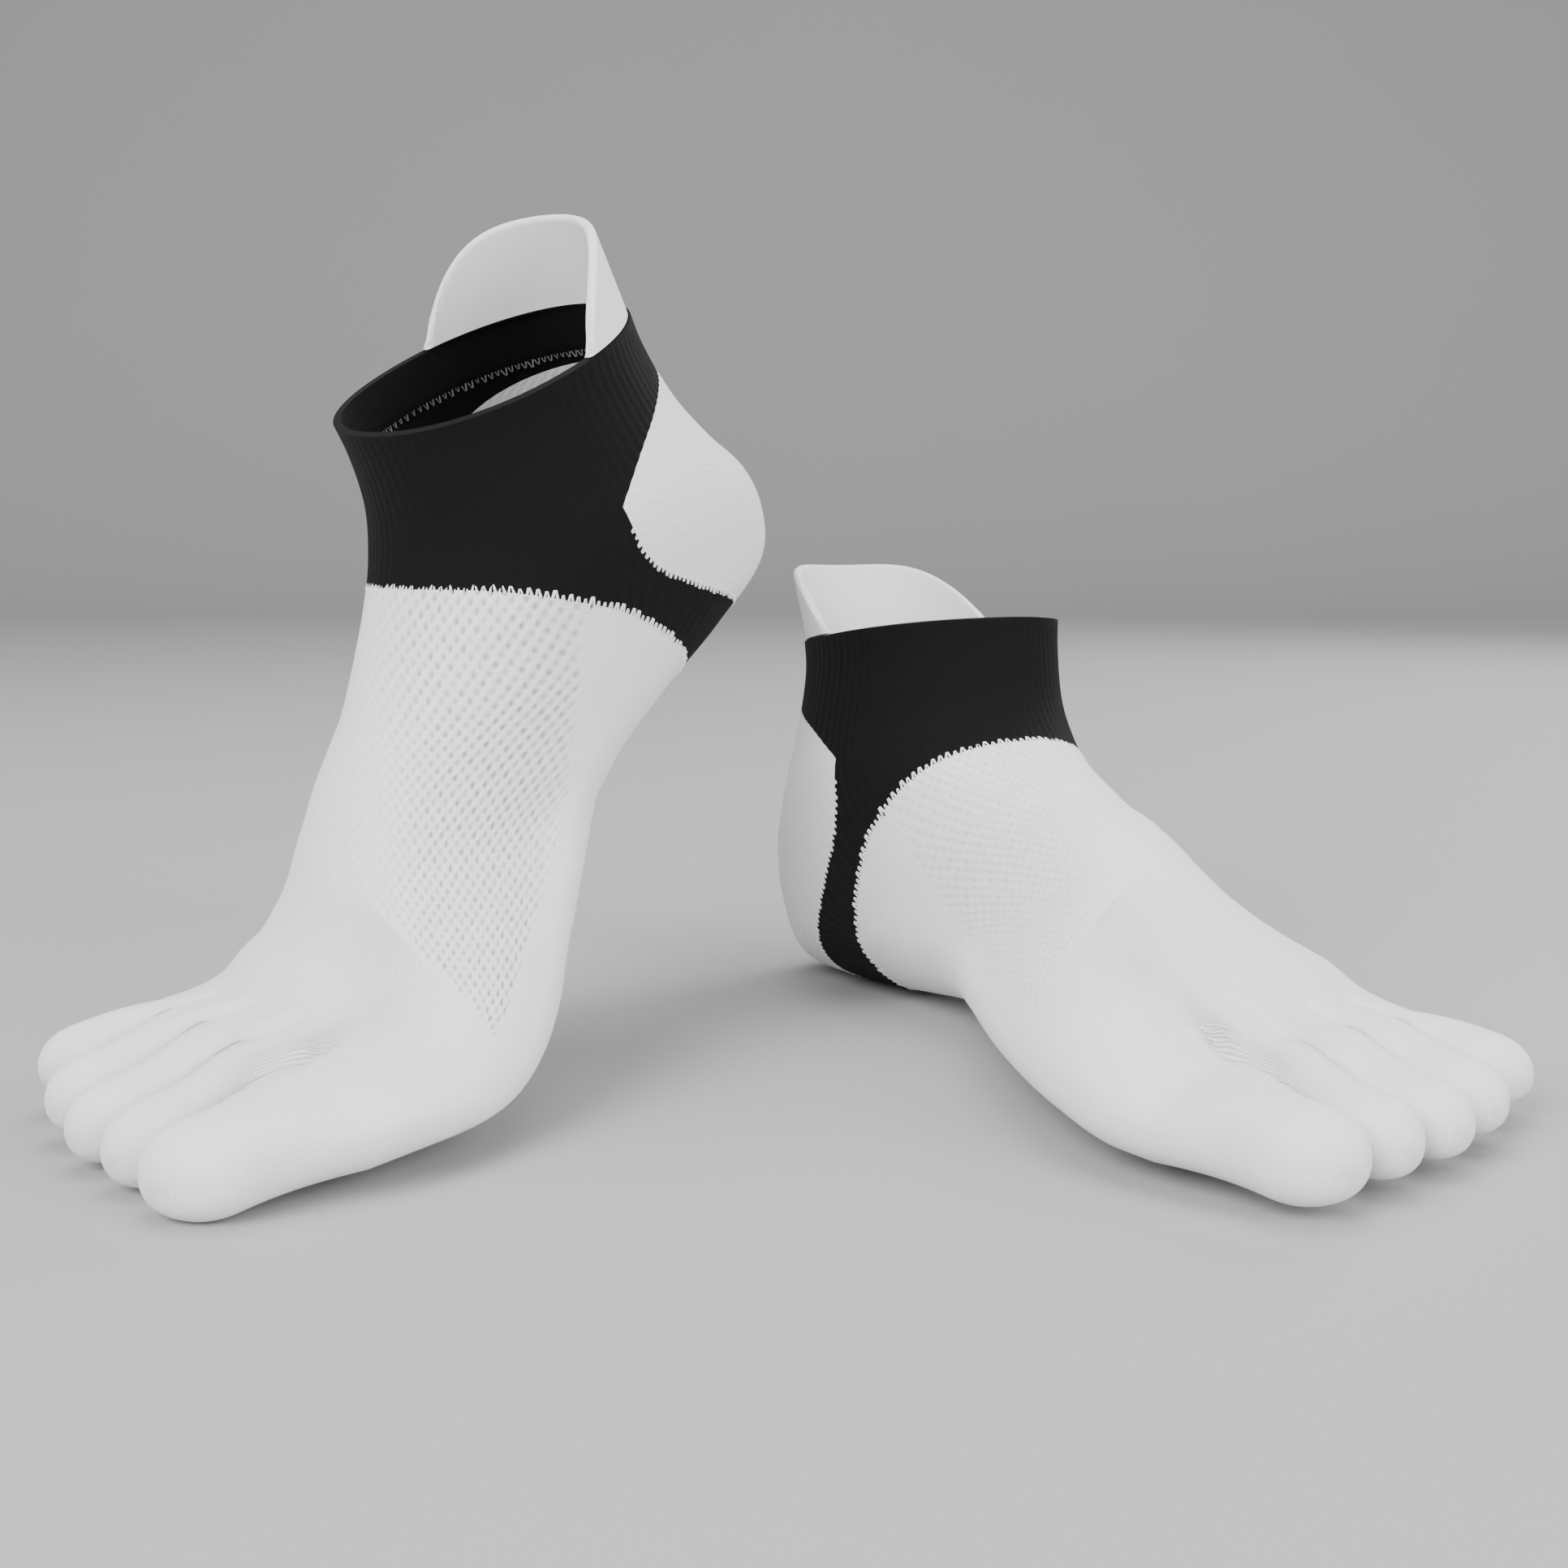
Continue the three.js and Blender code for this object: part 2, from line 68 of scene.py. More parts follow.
SECTION_COLUMNS = (
    "front_s", "front_h", "back_s", "back_h", "inner", "outer", "lean", "slant", "arch", "sole",
)
SECTION_ROWS = {
    "collar": (104.5, 100, 23, 100, 30.5, 31, 0, 0, 0, 2.1),
    "cuff": (103, 91, 20.5, 90, 29.5, 31.5, 0, 0, 0, 2.1),
    "ankle": (103, 79, 16, 74, 31.5, 32.5, 0, 0, 0, 2.1),
    "ankle_bones": (108, 71, 7.5, 54, 34, 34, 0, 0, 0, 2.1),
    "upper_heel": (117, 66.5, -0.5, 35, 33.5, 33.5, 0, 0, 0, 2.2),
    "heel": (127, 63.5, -1, 17, 31, 33, 0, 0, 0, 2.3),
    "lower_heel": (138, 61, 8, 3, 28.5, 33.5, 1, 0, 1, 2.4),
    "heel_pad": (148, 58, 33, 0, 26, 33.5, 2, 0, 4, 2.4),
    "back_arch": (157.5, 54, 63, 1, 25, 33.5, 3, 0.02, 9, 2.4),
    "mid_arch": (166.5, 48.5, 92, 3, 27, 34.5, 5, 0.06, 10, 2.4),
    "front_arch": (176, 42, 120, 3, 37.5, 37, 6, 0.12, 6, 2.4),
    "back_ball": (186, 36, 146.5, 0.5, 47, 42.5, 7, 0.2, 2, 2.4),
    "ball": (197, 31, 167.5, -1, 53, 47.5, 6, 0.28, 0, 2.4),
    "front_ball": (206, 26, 183.5, -2, 55, 49.5, 5, 0.34, 0, 2.4),
    "toe_roots": (213.5, 23.5, 199, -3, 54.5, 51.5, 3, 0.36, 0, 2.5),
    "webs": (220.5, 22, 213.5, -3, 51.5, 53.5, 1, 0.36, 0, 2.6),
}
CROWN = 2.2

TOE_COLUMNS = ("root_width", "tip_s", "tip_m", "width", "height")
TOE_ROWS = {
    "great": (27, 271, 30, 24.5, 19),
    "second": (20, 263, 8, 17.8, 16.6),
    "third": (18.5, 257, -10.5, 17.2, 16),
    "fourth": (18, 247.5, -28.5, 17.2, 15.8),
    "little": (18.5, 232.5, -49.5, 18, 15),
}

FOOT_EDGE = ((140, 75), (111, 70), (89, 54), (76, 38), (65, 14), (58, -14))
HEEL_UPPER_EDGE = ((-12, 85), (28, 82), (50, 76), (69.5, 66.5))
HEEL_LOWER_EDGE = ((69.5, 66.5), (67, 50), (52, 29), (36, 8), (26, -14))
TAB_RISE = 23.0

LOG = logging.getLogger("toe_socks")


def smoothstep(value: np.ndarray, low: float, high: float) -> np.ndarray:
    """A smooth share from 0 at low to 1 at high."""
    share = np.clip((np.asarray(value, float) - low) / (high - low), 0, 1)
    return share * share * (3 - 2 * share)


def signed_power(value: np.ndarray, power: np.ndarray) -> np.ndarray:
    """A power that keeps the sign of its base."""
    return np.sign(value) * np.abs(value) ** power


def travel_along(path: np.ndarray) -> np.ndarray:
    """How far along a path each of its points lies."""
    return np.concatenate([[0], np.cumsum(np.linalg.norm(np.diff(path, axis=0), axis=1))])


def curve_through(rows: np.ndarray, place: np.ndarray) -> np.ndarray:
    """Rows on a smooth curve through those of a table.

    Args:
        rows: The table's rows, with one more before the first and one more after the last.
        place: Places along the table, 0 at its first row.

    Returns:
        One row for each place.
    """
    index = np.clip(np.floor(place).astype(int), 0, len(rows) - 4)
    u = (place - index)[:, None]
    before, first, second, after = (rows[index + k] for k in range(4))
    bend = 2 * before - 5 * first + 4 * second - after
    turn = 3 * first - before - 3 * second + after
    return 0.5 * (2 * first + (second - before) * u + bend * u**2 + turn * u**3)


@dataclass(frozen=True)
class FootForm:
    """The straight foot that both socks are knitted to, in millimetres.

    A point of its skin is named by a place along the section table and a ring step round the
    section: 0 to 15 over the crown from the inner side, 18 to 33 back under the sole.
    """

    ring_steps: int = 36
    crown_end: int = 15
    sole_start: int = 18
    sole_end: int = 33
    toe_steps: int = 3
    root_edge: float = 0.95
    web_dip: float = 1.7
    toe_arch: float = 1.5
    toe_flow: float = 0.6
    toe_gap: float = 0.5
    cap_share: float = 0.62
    toeward_places: tuple[float, float] = (4, 1)
    dip_places: float = 2.2
    sections: np.ndarray = field(default_factory=lambda: np.array(list(SECTION_ROWS.values()), float))
    toes: np.ndarray = field(default_factory=lambda: np.array(list(TOE_ROWS.values()), float))

    @property
    def last(self) -> int:
        """The place of the last section, where the toes part."""
        return len(self.sections) - 1

    def rings(self, columns_per_step: int) -> np.ndarray:
        """Ring steps all the way round, for a skin with this many columns a step."""
        return np.arange(self.ring_steps * columns_per_step) / columns_per_step

    def section(self, place: np.ndarray) -> dict[str, np.ndarray]:
        """The section's columns at each place, on a smooth curve through the rows.

        Args:
            place: Places along the table, from 0 to the last section.

        Returns:
            One array for each column.
        """
        rows = self.sections
        rows = np.vstack([2 * rows[0] - rows[1], rows, 2 * rows[-1] - rows[-2]])
        return dict(zip(SECTION_COLUMNS, curve_through(rows, place).T))

    def crown_angle(self, step: np.ndarray, toeward: np.ndarray, power: np.ndarray) -> np.ndarray:
        """The angle of a crown step, even round the ankle and in line with the toes at their roots."""
        widths = self.toes[:, 0]
        bounds = self.root_edge * (1 - 2 * np.concatenate([[0], np.cumsum(widths)]) / widths.sum())
        across = np.interp(step / self.toe_steps, np.arange(len(bounds)), bounds)
        aligned = np.sign(across) * np.arcsin(np.abs(across) ** (power / 2))
        even = math.pi * (self.crown_end / 2 - step) * (2 / self.ring_steps)
        return even + (aligned - even) * toeward

    def ring_angle(self, ring: np.ndarray, toeward: np.ndarray, sole: np.ndarray) -> np.ndarray:
        """The angle round a section at each ring step, 0 at the crown and growing to the inner side."""
        crown = np.full_like(sole, CROWN)
        ring = np.mod(ring, self.ring_steps)
        edges = {}
        for side, step in (("inner", 0.0), ("outer", float(self.crown_end))):
            at = np.full_like(ring, step)
            edges[side] = (
                self.crown_angle(at, toeward, crown),
                -math.pi - self.crown_angle(at, toeward, sole),
            )
        span = self.sole_start - self.crown_end
        upper = self.crown_angle(np.minimum(ring, self.crown_end), toeward, crown)
        under = -math.pi - self.crown_angle(np.clip(self.sole_end - ring, 0, self.crown_end), toeward, sole)
        share = (ring - self.crown_end) / span
        outer = edges["outer"][0] + (edges["outer"][1] - edges["outer"][0]) * share
        share = (ring - self.sole_end) / span
        start, end = edges["inner"][1], edges["inner"][0] - 2 * math.pi
        inner = start + (end - start) * share
        choices = [ring <= self.crown_end, ring < self.sole_start, ring <= self.sole_end]
        return np.select(choices, [upper, outer, under], inner)

    def groove(self, ring: np.ndarray) -> np.ndarray:
        """How much a ring step lies in the groove between two toes, from 0 to 1."""
        ring = np.mod(ring, self.ring_steps)
        bound = self.toe_steps * np.round(ring / self.toe_steps)
        near = np.clip(1 - np.abs(ring - bound), 0, 1)
        in_crown = (bound > 0) & (bound < self.crown_end)
        in_sole = (bound > self.sole_start) & (bound < self.sole_end)
        return np.where(in_crown | in_sole, near * near * (3 - 2 * near), 0)

    def skin(self, place: np.ndarray, ring: np.ndarray) -> np.ndarray:
        """Points on the outside of the foot.

        Args:
            place: Places along the section table.
            ring: Ring steps, one for each place.

        Returns:
            An array of s, m and h rows.
        """
        place, ring = np.broadcast_arrays(np.asarray(place, float), np.asarray(ring, float))
        cut = self.section(place)
        toeward = smoothstep(place, *(self.last - before for before in self.toeward_places))
        angle = self.ring_angle(ring, toeward, cut["sole"])
        power = 2 / np.where(np.cos(angle) < 0, cut["sole"], CROWN)
        across = signed_power(np.sin(angle), power)
        rise = signed_power(np.cos(angle), power)
        side = np.where(across > 0, cut["inner"], cut["outer"])
        m = across * side + cut["lean"] * np.maximum(rise, 0) ** 2
        half_s = (cut["front_s"] - cut["back_s"]) / 2
        half_h = (cut["front_h"] - cut["back_h"]) / 2
        dip = self.groove(ring) * self.web_dip * smoothstep(place, self.last - self.dip_places, self.last)
        reach = rise - np.sign(rise) * dip / np.hypot(half_s, half_h)
        lift = cut["arch"] * np.maximum(across, 0) ** 2 * np.maximum(-rise, 0)
        s = cut["back_s"] + half_s * (1 + reach) + cut["slant"] * m
        h = cut["back_h"] + half_h * (1 + reach) + lift
        return np.stack([s, m, h], axis=-1)

    def toe_ring(self, base: np.ndarray, toe: int, station: float) -> np.ndarray:
        """One ring of a toe, from its root's points towards its rounded end.

        Args:
            base: The root's points, round the toe from the crown's inner corner.
            toe: Which toe, from the great toe at 0.
            station: How far along the toe, from 0 to 1.

        Returns:
            As many points as the root has.
        """
        root_width, tip_s, tip_m, width, height = self.toes[toe]
        centre = base.mean(axis=0)
        tip = np.array([tip_s, tip_m, height / 2])
        middle = centre + (tip - centre) * station
        middle[2] += self.toe_arch * math.sin(math.pi * station)
        in_cap = max(0.0, 1 - (tip_s - centre[0]) * (1 - station) / (self.cap_share * height))
        end = math.sqrt(max(0.0, 1 - in_cap**CROWN))
        turn = math.pi * (0.25 - 2 * np.arange(len(base)) / len(base))
        across = signed_power(np.sin(turn), 2 / CROWN)
        rise = signed_power(np.cos(turn), 2 / CROWN)
        level = np.zeros_like(across)
        rounded = middle + np.stack([level, across * width / 2 * end, rise * height / 2 * end], axis=-1)
        flow = base - centre + middle
        points = flow + (rounded - flow) * smoothstep(station, 0, self.toe_flow)
        room = (root_width + (width - root_width) * station) / 2 - (1 - station) * self.toe_gap
        offset = points[:, 1] - middle[1]
        pressed = np.clip(offset, -room, room)
        if toe == 0:
            pressed = np.where(across > 0, offset, pressed)
        if toe == len(self.toes) - 1:
            pressed = np.where(across > 0, pressed, offset)
        points[:, 1] = middle[1] + pressed
        return points


FORM = FootForm()


@dataclass(frozen=True)
class Edge:
    """A knitted edge as a smooth line in the side view, with a signed distance to it."""

    marks: tuple[tuple[float, float], ...]
    steps: int = 80
    reach: float = 200.0

    def line(self) -> np.ndarray:
        """The line's points, run on straight past both ends."""
        marks = np.array(self.marks, float)
        marks = np.vstack([marks[0], marks, marks[-1]])
        points = curve_through(marks, np.linspace(0, len(self.marks) - 1, self.steps))
        start = points[0] + (points[0] - points[1]) * self.reach
        end = points[-1] + (points[-1] - points[-2]) * self.reach
        return np.vstack([start, points, end])

    def distance(self, points: np.ndarray) -> np.ndarray:
        """How far points lie to the left of the line, seen along it.

        Args:
            points: s, m and h rows of the straight foot.

        Returns:
            A signed distance in the side view for each point.
        """
        line = self.line()
        flat = points[:, [0, 2]]
        best = np.full(len(flat), np.inf)
        side = np.zeros(len(flat))
        for start, end in zip(line[:-1], line[1:]):
            run = end - start
            share = np.clip((flat - start) @ run / (run @ run), 0, 1)
            away = flat - start - share[:, None] * run
            gap = np.hypot(away[:, 0], away[:, 1])
            nearer = gap < best - 1e-9
            best = np.where(nearer, gap, best)
            turn = run[0] * (flat[:, 1] - start[1]) - run[1] * (flat[:, 0] - start[0])
            side = np.where(nearer, np.sign(turn), side)
        return best * side


FOOT_LINE = Edge(FOOT_EDGE)
HEEL_UPPER_LINE = Edge(HEEL_UPPER_EDGE)
HEEL_LOWER_LINE = Edge(HEEL_LOWER_EDGE)


def foot_field(points: np.ndarray) -> np.ndarray:
    """Positive on the white foot, in front of its knitted edge."""
    return FOOT_LINE.distance(points)


def heel_field(points: np.ndarray) -> np.ndarray:
    """Positive on the heel pocket, below its upper edge and behind its lower one."""
    return np.minimum(-HEEL_UPPER_LINE.distance(points), -HEEL_LOWER_LINE.distance(points))


@dataclass
class Cloth:
    """A skin of cloth on the straight foot: triangles with a knit place at each corner."""

    points: np.ndarray
    faces: np.ndarray
    knit: np.ndarray
    marks: dict[str, np.ndarray] = field(default_factory=dict)
    normals: np.ndarray = field(default_factory=lambda: np.zeros((0, 3)))

    def with_normals(self) -> Cloth:
        """Works out the outward direction at each point from the triangles round it."""
        corners = self.points[self.faces]
        square = np.cross(corners[:, 1] - corners[:, 0], corners[:, 2] - corners[:, 0])
        total = np.zeros_like(self.points)
        for corner in range(3):
            np.add.at(total, self.faces[:, corner], square)
        length = np.linalg.norm(total, axis=1, keepdims=True)
        self.normals = total / np.maximum(length, 1e-12)
        return self

    def raised(self, height: np.ndarray) -> Cloth:
        """The same cloth with each point moved out by its height."""
        moved = self.points + self.normals * height[:, None]
        return Cloth(moved, self.faces, self.knit, self.marks, self.normals)

    def cut(self, value: np.ndarray) -> Cloth:
        """The cloth where a value is positive, cut exactly where it is zero.

        Args:
            value: One number for each point.

        Returns:
            The kept cloth, with new points along the cut.
        """
        inside = value >= 0
        count = inside[self.faces].sum(axis=1)
        faces = [self.faces[count == 3]]
        knit = [self.knit[count == 3]]
        mixed = np.nonzero((count == 1) | (count == 2))[0]
        odd_inside = count[mixed] == 1
        corner_in = inside[self.faces[mixed]]
        odd = np.argmax(corner_in == odd_inside[:, None], axis=1)
        order = (odd[:, None] + np.arange(3)) % 3
        rows = np.arange(len(mixed))[:, None]
        turned = self.faces[mixed][rows, order]
        places = self.knit[mixed][rows, order]
        pairs = np.concatenate([turned[:, [0, 1]], turned[:, [0, 2]]])
        ordered = np.sort(pairs, axis=1)
        edges, back = np.unique(ordered, axis=0, return_inverse=True)
        back = back.reshape(-1)
        low, high = value[edges[:, 0]], value[edges[:, 1]]
        share = low / (low - high)
        blend = share[:, None]

        def between(values: np.ndarray) -> np.ndarray:
            """Values at the cut points, between those at the ends of each cut edge."""
            start, end = values[edges[:, 0]], values[edges[:, 1]]
            weight = blend if values.ndim > 1 else share
            return start + (end - start) * weight

        first = len(self.points)
        new = (first + back).reshape(2, -1).T
        along = value[turned[:, 0]][:, None] / (value[turned[:, 0]][:, None] - value[turned[:, 1:]])
        cut_places = places[:, :1] + (places[:, 1:] - places[:, :1]) * along[:, :, None]
        one = odd_inside
        faces.append(np.stack([turned[one, 0], new[one, 0], new[one, 1]], axis=1))
        knit.append(np.stack([places[one, 0], cut_places[one, 0], cut_places[one, 1]], axis=1))
        two = ~odd_inside
        faces.append(np.stack([new[two, 0], turned[two, 1], turned[two, 2]], axis=1))
        knit.append(np.stack([cut_places[two, 0], places[two, 1], places[two, 2]], axis=1))
        faces.append(np.stack([new[two, 0], turned[two, 2], new[two, 1]], axis=1))
        knit.append(np.stack([cut_places[two, 0], places[two, 2], cut_places[two, 1]], axis=1))
        points = np.vstack([self.points, between(self.points)])
        normals = np.vstack([self.normals, between(self.normals)])
        marks = {name: np.concatenate([mark, between(mark)]) for name, mark in self.marks.items()}
        kept = Cloth(points, np.vstack(faces), np.concatenate(knit), marks, normals)
        return kept.compacted()

    def compacted(self) -> Cloth:
        """The same cloth without the points that no triangle uses."""
        used, faces = np.unique(self.faces, return_inverse=True)
        marks = {name: mark[used] for name, mark in self.marks.items()}
        return Cloth(self.points[used], faces.reshape(-1, 3), self.knit, marks, self.normals[used])

    def walled(self, outer: np.ndarray, inner: np.ndarray) -> Cloth:
        """A closed wall between this cloth raised by outer and raised by inner."""
        return self.raised(outer).wall(self.raised(inner).points)

    def open_edges(self) -> tuple[np.ndarray, np.ndarray]:
        """The directed edges that only one triangle has, and the knit places at their ends."""
        sides = ((0, 1), (1, 2), (2, 0))
        edges = np.concatenate([self.faces[:, side] for side in sides])
        places = np.concatenate([self.knit[:, side] for side in sides])
        size = len(self.points)
        forward = edges[:, 0] * size + edges[:, 1]
        backward = edges[:, 1] * size + edges[:, 0]
        alone = ~np.isin(forward, backward)
        return edges[alone], places[alone]

    def wall(self, inner: np.ndarray) -> Cloth:
        """A closed wall between this skin and an inner one, joined round every open edge.

        Args:
            inner: The inner skin's points, one for each point of this skin.

        Returns:
            The closed wall.
        """
        size = len(self.points)
        edges, places = self.open_edges()
        a, b = edges.T
        at_a, at_b = places[:, 0], places[:, 1]
        rim = [np.stack([b, a, a + size], axis=1), np.stack([b, a + size, b + size], axis=1)]
        rim_knit = [np.stack([at_b, at_a, at_a], axis=1), np.stack([at_b, at_a, at_b], axis=1)]
        faces = np.vstack([self.faces, self.faces[:, ::-1] + size, *rim])
        knit = np.concatenate([self.knit, self.knit[:, ::-1], *rim_knit])
        marks = {name: np.concatenate([mark, mark]) for name, mark in self.marks.items()}
        points = np.vstack([self.points, inner])
        normals = np.vstack([self.normals, -self.normals])
        return Cloth(points, faces, knit, marks, normals)


def grid_faces(index: np.ndarray, u: np.ndarray, v: np.ndarray) -> tuple[np.ndarray, np.ndarray]:
    """Triangles over a grid of points, and the knit place at each of their corners.

    Args:
        index: Point numbers, a row for each ring. A closed ring repeats its first point.
        u: The wale at each grid point.
        v: The distance along the wales at each grid point, in millimetres.

    Returns:
        The triangles, and their knit places.
    """
    corners = (index[:-1, :-1], index[:-1, 1:], index[1:, 1:], index[1:, :-1])
    place = np.stack(np.broadcast_arrays(u, v), axis=-1)
    places = (place[:-1, :-1], place[:-1, 1:], place[1:, 1:], place[1:, :-1])
    faces = []
    knit = []
    for triangle in ((0, 1, 2), (0, 2, 3)):
        faces.append(np.stack([corners[k].ravel() for k in triangle], axis=1))
        knit.append(np.stack([places[k].reshape(-1, 2) for k in triangle], axis=1))
    return np.vstack(faces), np.concatenate(knit)


class Skin:
    """The skin of the straight foot as a fine grid, between two places and all round or part of it."""

    trial_places: int = 400
    trial_columns: int = 24

    def __init__(self, start: float, end: float, spacing: float, rings: np.ndarray, closed: bool) -> None:
        """Lays the grid.

        Args:
            start: The first place.
            end: The last place.
            spacing: The widest distance between two rings, in millimetres.
            rings: The ring steps of the columns.
            closed: Whether the last column joins the first.
        """
        self.rings = rings
        self.closed = closed
        self.places = self.even_places(start, end, spacing, rings)
        rows, columns = len(self.places), len(rings)
        place = np.repeat(self.places, columns)
        ring = np.tile(rings, rows)
        self.points = FORM.skin(place, ring)
        self.index = np.arange(rows * columns).reshape(rows, columns)
        grid = self.points.reshape(rows, columns, 3)
        steps = np.linalg.norm(np.diff(grid, axis=0), axis=2)
        self.along = np.vstack([np.zeros(columns), np.cumsum(steps, axis=0)])
        self.marks = {"place": place, "ring": ring}

    @classmethod
    def even_places(cls, start: float, end: float, spacing: float, rings: np.ndarray) -> np.ndarray:
        """Places whose rings are evenly spaced where they lie widest apart."""
        fine = np.linspace(start, end, cls.trial_places)
        columns = rings[:: max(1, len(rings) // cls.trial_columns)]
        grid = FORM.skin(np.repeat(fine, len(columns)), np.tile(columns, len(fine)))
        steps = np.linalg.norm(np.diff(grid.reshape(len(fine), len(columns), 3), axis=0), axis=2)
        travel = np.concatenate([[0], np.cumsum(steps.max(axis=1))])
        count = max(2, round(travel[-1] / spacing))
        return np.interp(np.linspace(0, travel[-1], count + 1), travel, fine)

    def cloth(self, from_toes: bool) -> Cloth:
        """The grid as cloth.

        Args:
            from_toes: Whether the knit's rows are counted from the toes' roots back.

        Returns:
            The cloth, without toes.
        """
        along = self.along[-1] - self.along if from_toes else self.along
        marks = dict(self.marks, along=along.ravel())
        index, rings = self.index, self.rings
        if self.closed:
            index = np.hstack([index, index[:, :1]])
            along = np.hstack([along, along[:, :1]])
            rings = np.append(rings, rings[0] + FORM.ring_steps)
        faces, knit = grid_faces(index, rings[None, :] * WALES_PER_STEP, along)
        return Cloth(self.points, faces, knit, marks)


class Toes:
    """The five toes, grown on from the last ring of a closed skin whose rings count from 0."""

    stations: int = 34
    cap_crowding: float = 1.7

    def __init__(self, skin: Skin, fineness: int) -> None:
        """Grows the toes.

        Args:
            skin: The skin that ends in the toes' roots.
            fineness: How many columns of the skin make one ring step.
        """
        self.fineness = fineness
        self.points = [skin.points]
        self.count = len(skin.points)
        self.faces: list[np.ndarray] = []
        self.knit: list[np.ndarray] = []
        last_row = skin.index[-1]
        web: np.ndarray | None = None
        for toe in range(len(FORM.toes)):
            web = self.grow(toe, last_row, web, skin.points)

    def add(self, points: np.ndarray) -> np.ndarray:
        """Adds points and returns their numbers."""
        numbers = np.arange(self.count, self.count + len(points))
        self.points.append(points)
        self.count += len(points)
        return numbers

    def grow(self, toe: int, last_row: np.ndarray, web: np.ndarray | None, skin: np.ndarray) -> np.ndarray:
        """Grows one toe.

        Args:
            toe: Which toe, from the great toe at 0.
            last_row: The point numbers of the skin's last ring.
            web: The points between this toe and the one before it, from the crown to the sole.
            skin: The skin's points.

        Returns:
            The points between this toe and the next.
        """
        fine = self.fineness
        ring = np.append(last_row, last_row[0])
        start, end = toe * FORM.toe_steps, (toe + 1) * FORM.toe_steps
        top = ring[start * fine : end * fine]
        bottom = ring[(FORM.sole_end - end) * fine : (FORM.sole_end - start) * fine]
        crown_end, sole_end = ring[end * fine], ring[(FORM.sole_end - end) * fine]
        if toe < len(FORM.toes) - 1:
            share = np.arange(1, FORM.toe_steps * fine)[:, None] / (FORM.toe_steps * fine)
            between = self.add(skin[crown_end] * (1 - share) + skin[sole_end] * share)
        else:
            between = ring[FORM.crown_end * fine + 1 : FORM.sole_start * fine]
        if web is None:
            back_up = ring[FORM.sole_end * fine : FORM.ring_steps * fine]
        else:
            back_up = np.concatenate([[ring[(FORM.sole_end - start) * fine]], web[::-1]])
        outer = np.concatenate([[crown_end], between])
        base = np.concatenate([top, outer, bottom, back_up])
        every = np.concatenate(self.points)
        self.cover(toe, base, every[base])
        return between

    def cover(self, toe: int, base: np.ndarray, root: np.ndarray) -> None:
        """Covers a toe with rings from its root to its tip, and closes the tip."""
        crowded = 1 - (1 - np.linspace(0, 1, self.stations + 1)[1:]) ** self.cap_crowding
        rows = [base]
        centre = root.mean(axis=0)
        length = FORM.toes[toe, 1] - centre[0]
        for station in crowded[:-1]:
            rows.append(self.add(FORM.toe_ring(root, toe, station)))
        tip = self.add(FORM.toe_ring(root, toe, 1.0)[:1])[0]
        stations = np.concatenate([[0], crowded])
        index = np.vstack(rows)
        index = np.hstack([index, index[:, :1]])
        steps = np.arange(index.shape[1]) / self.fineness
        wale = WALES_PER_STEP * (toe * FORM.toe_steps + steps)[None, :]
        along = -(stations[:-1] * length)[:, None] * np.ones(index.shape)
        faces, knit = grid_faces(index, wale, along)
        self.faces.append(faces)
        self.knit.append(knit)
        ring = index[-1]
        fan = np.stack([ring[:-1], ring[1:], np.full(len(ring) - 1, tip)], axis=1)
        at = np.stack([np.broadcast_to(wale[0], ring.shape), along[-1]], axis=1)
        over = np.stack([(at[:-1, 0] + at[1:, 0]) / 2, np.full(len(ring) - 1, -length)], axis=1)
        self.faces.append(fan)
        self.knit.append(np.stack([at[:-1], at[1:], over], axis=1))

    def joined(self, cloth: Cloth) -> Cloth:
        """The skin's cloth with the toes grown on."""
        extra = self.count - len(cloth.points)
        marks = {}
        for name, mark in cloth.marks.items():
            filler = FORM.last if name == "place" else 0
            marks[name] = np.concatenate([mark, np.full(extra, filler, float)])
        points = np.concatenate(self.points)
        faces = np.vstack([cloth.faces, *self.faces])
        return Cloth(points, faces, np.concatenate([cloth.knit, *self.knit]), marks)


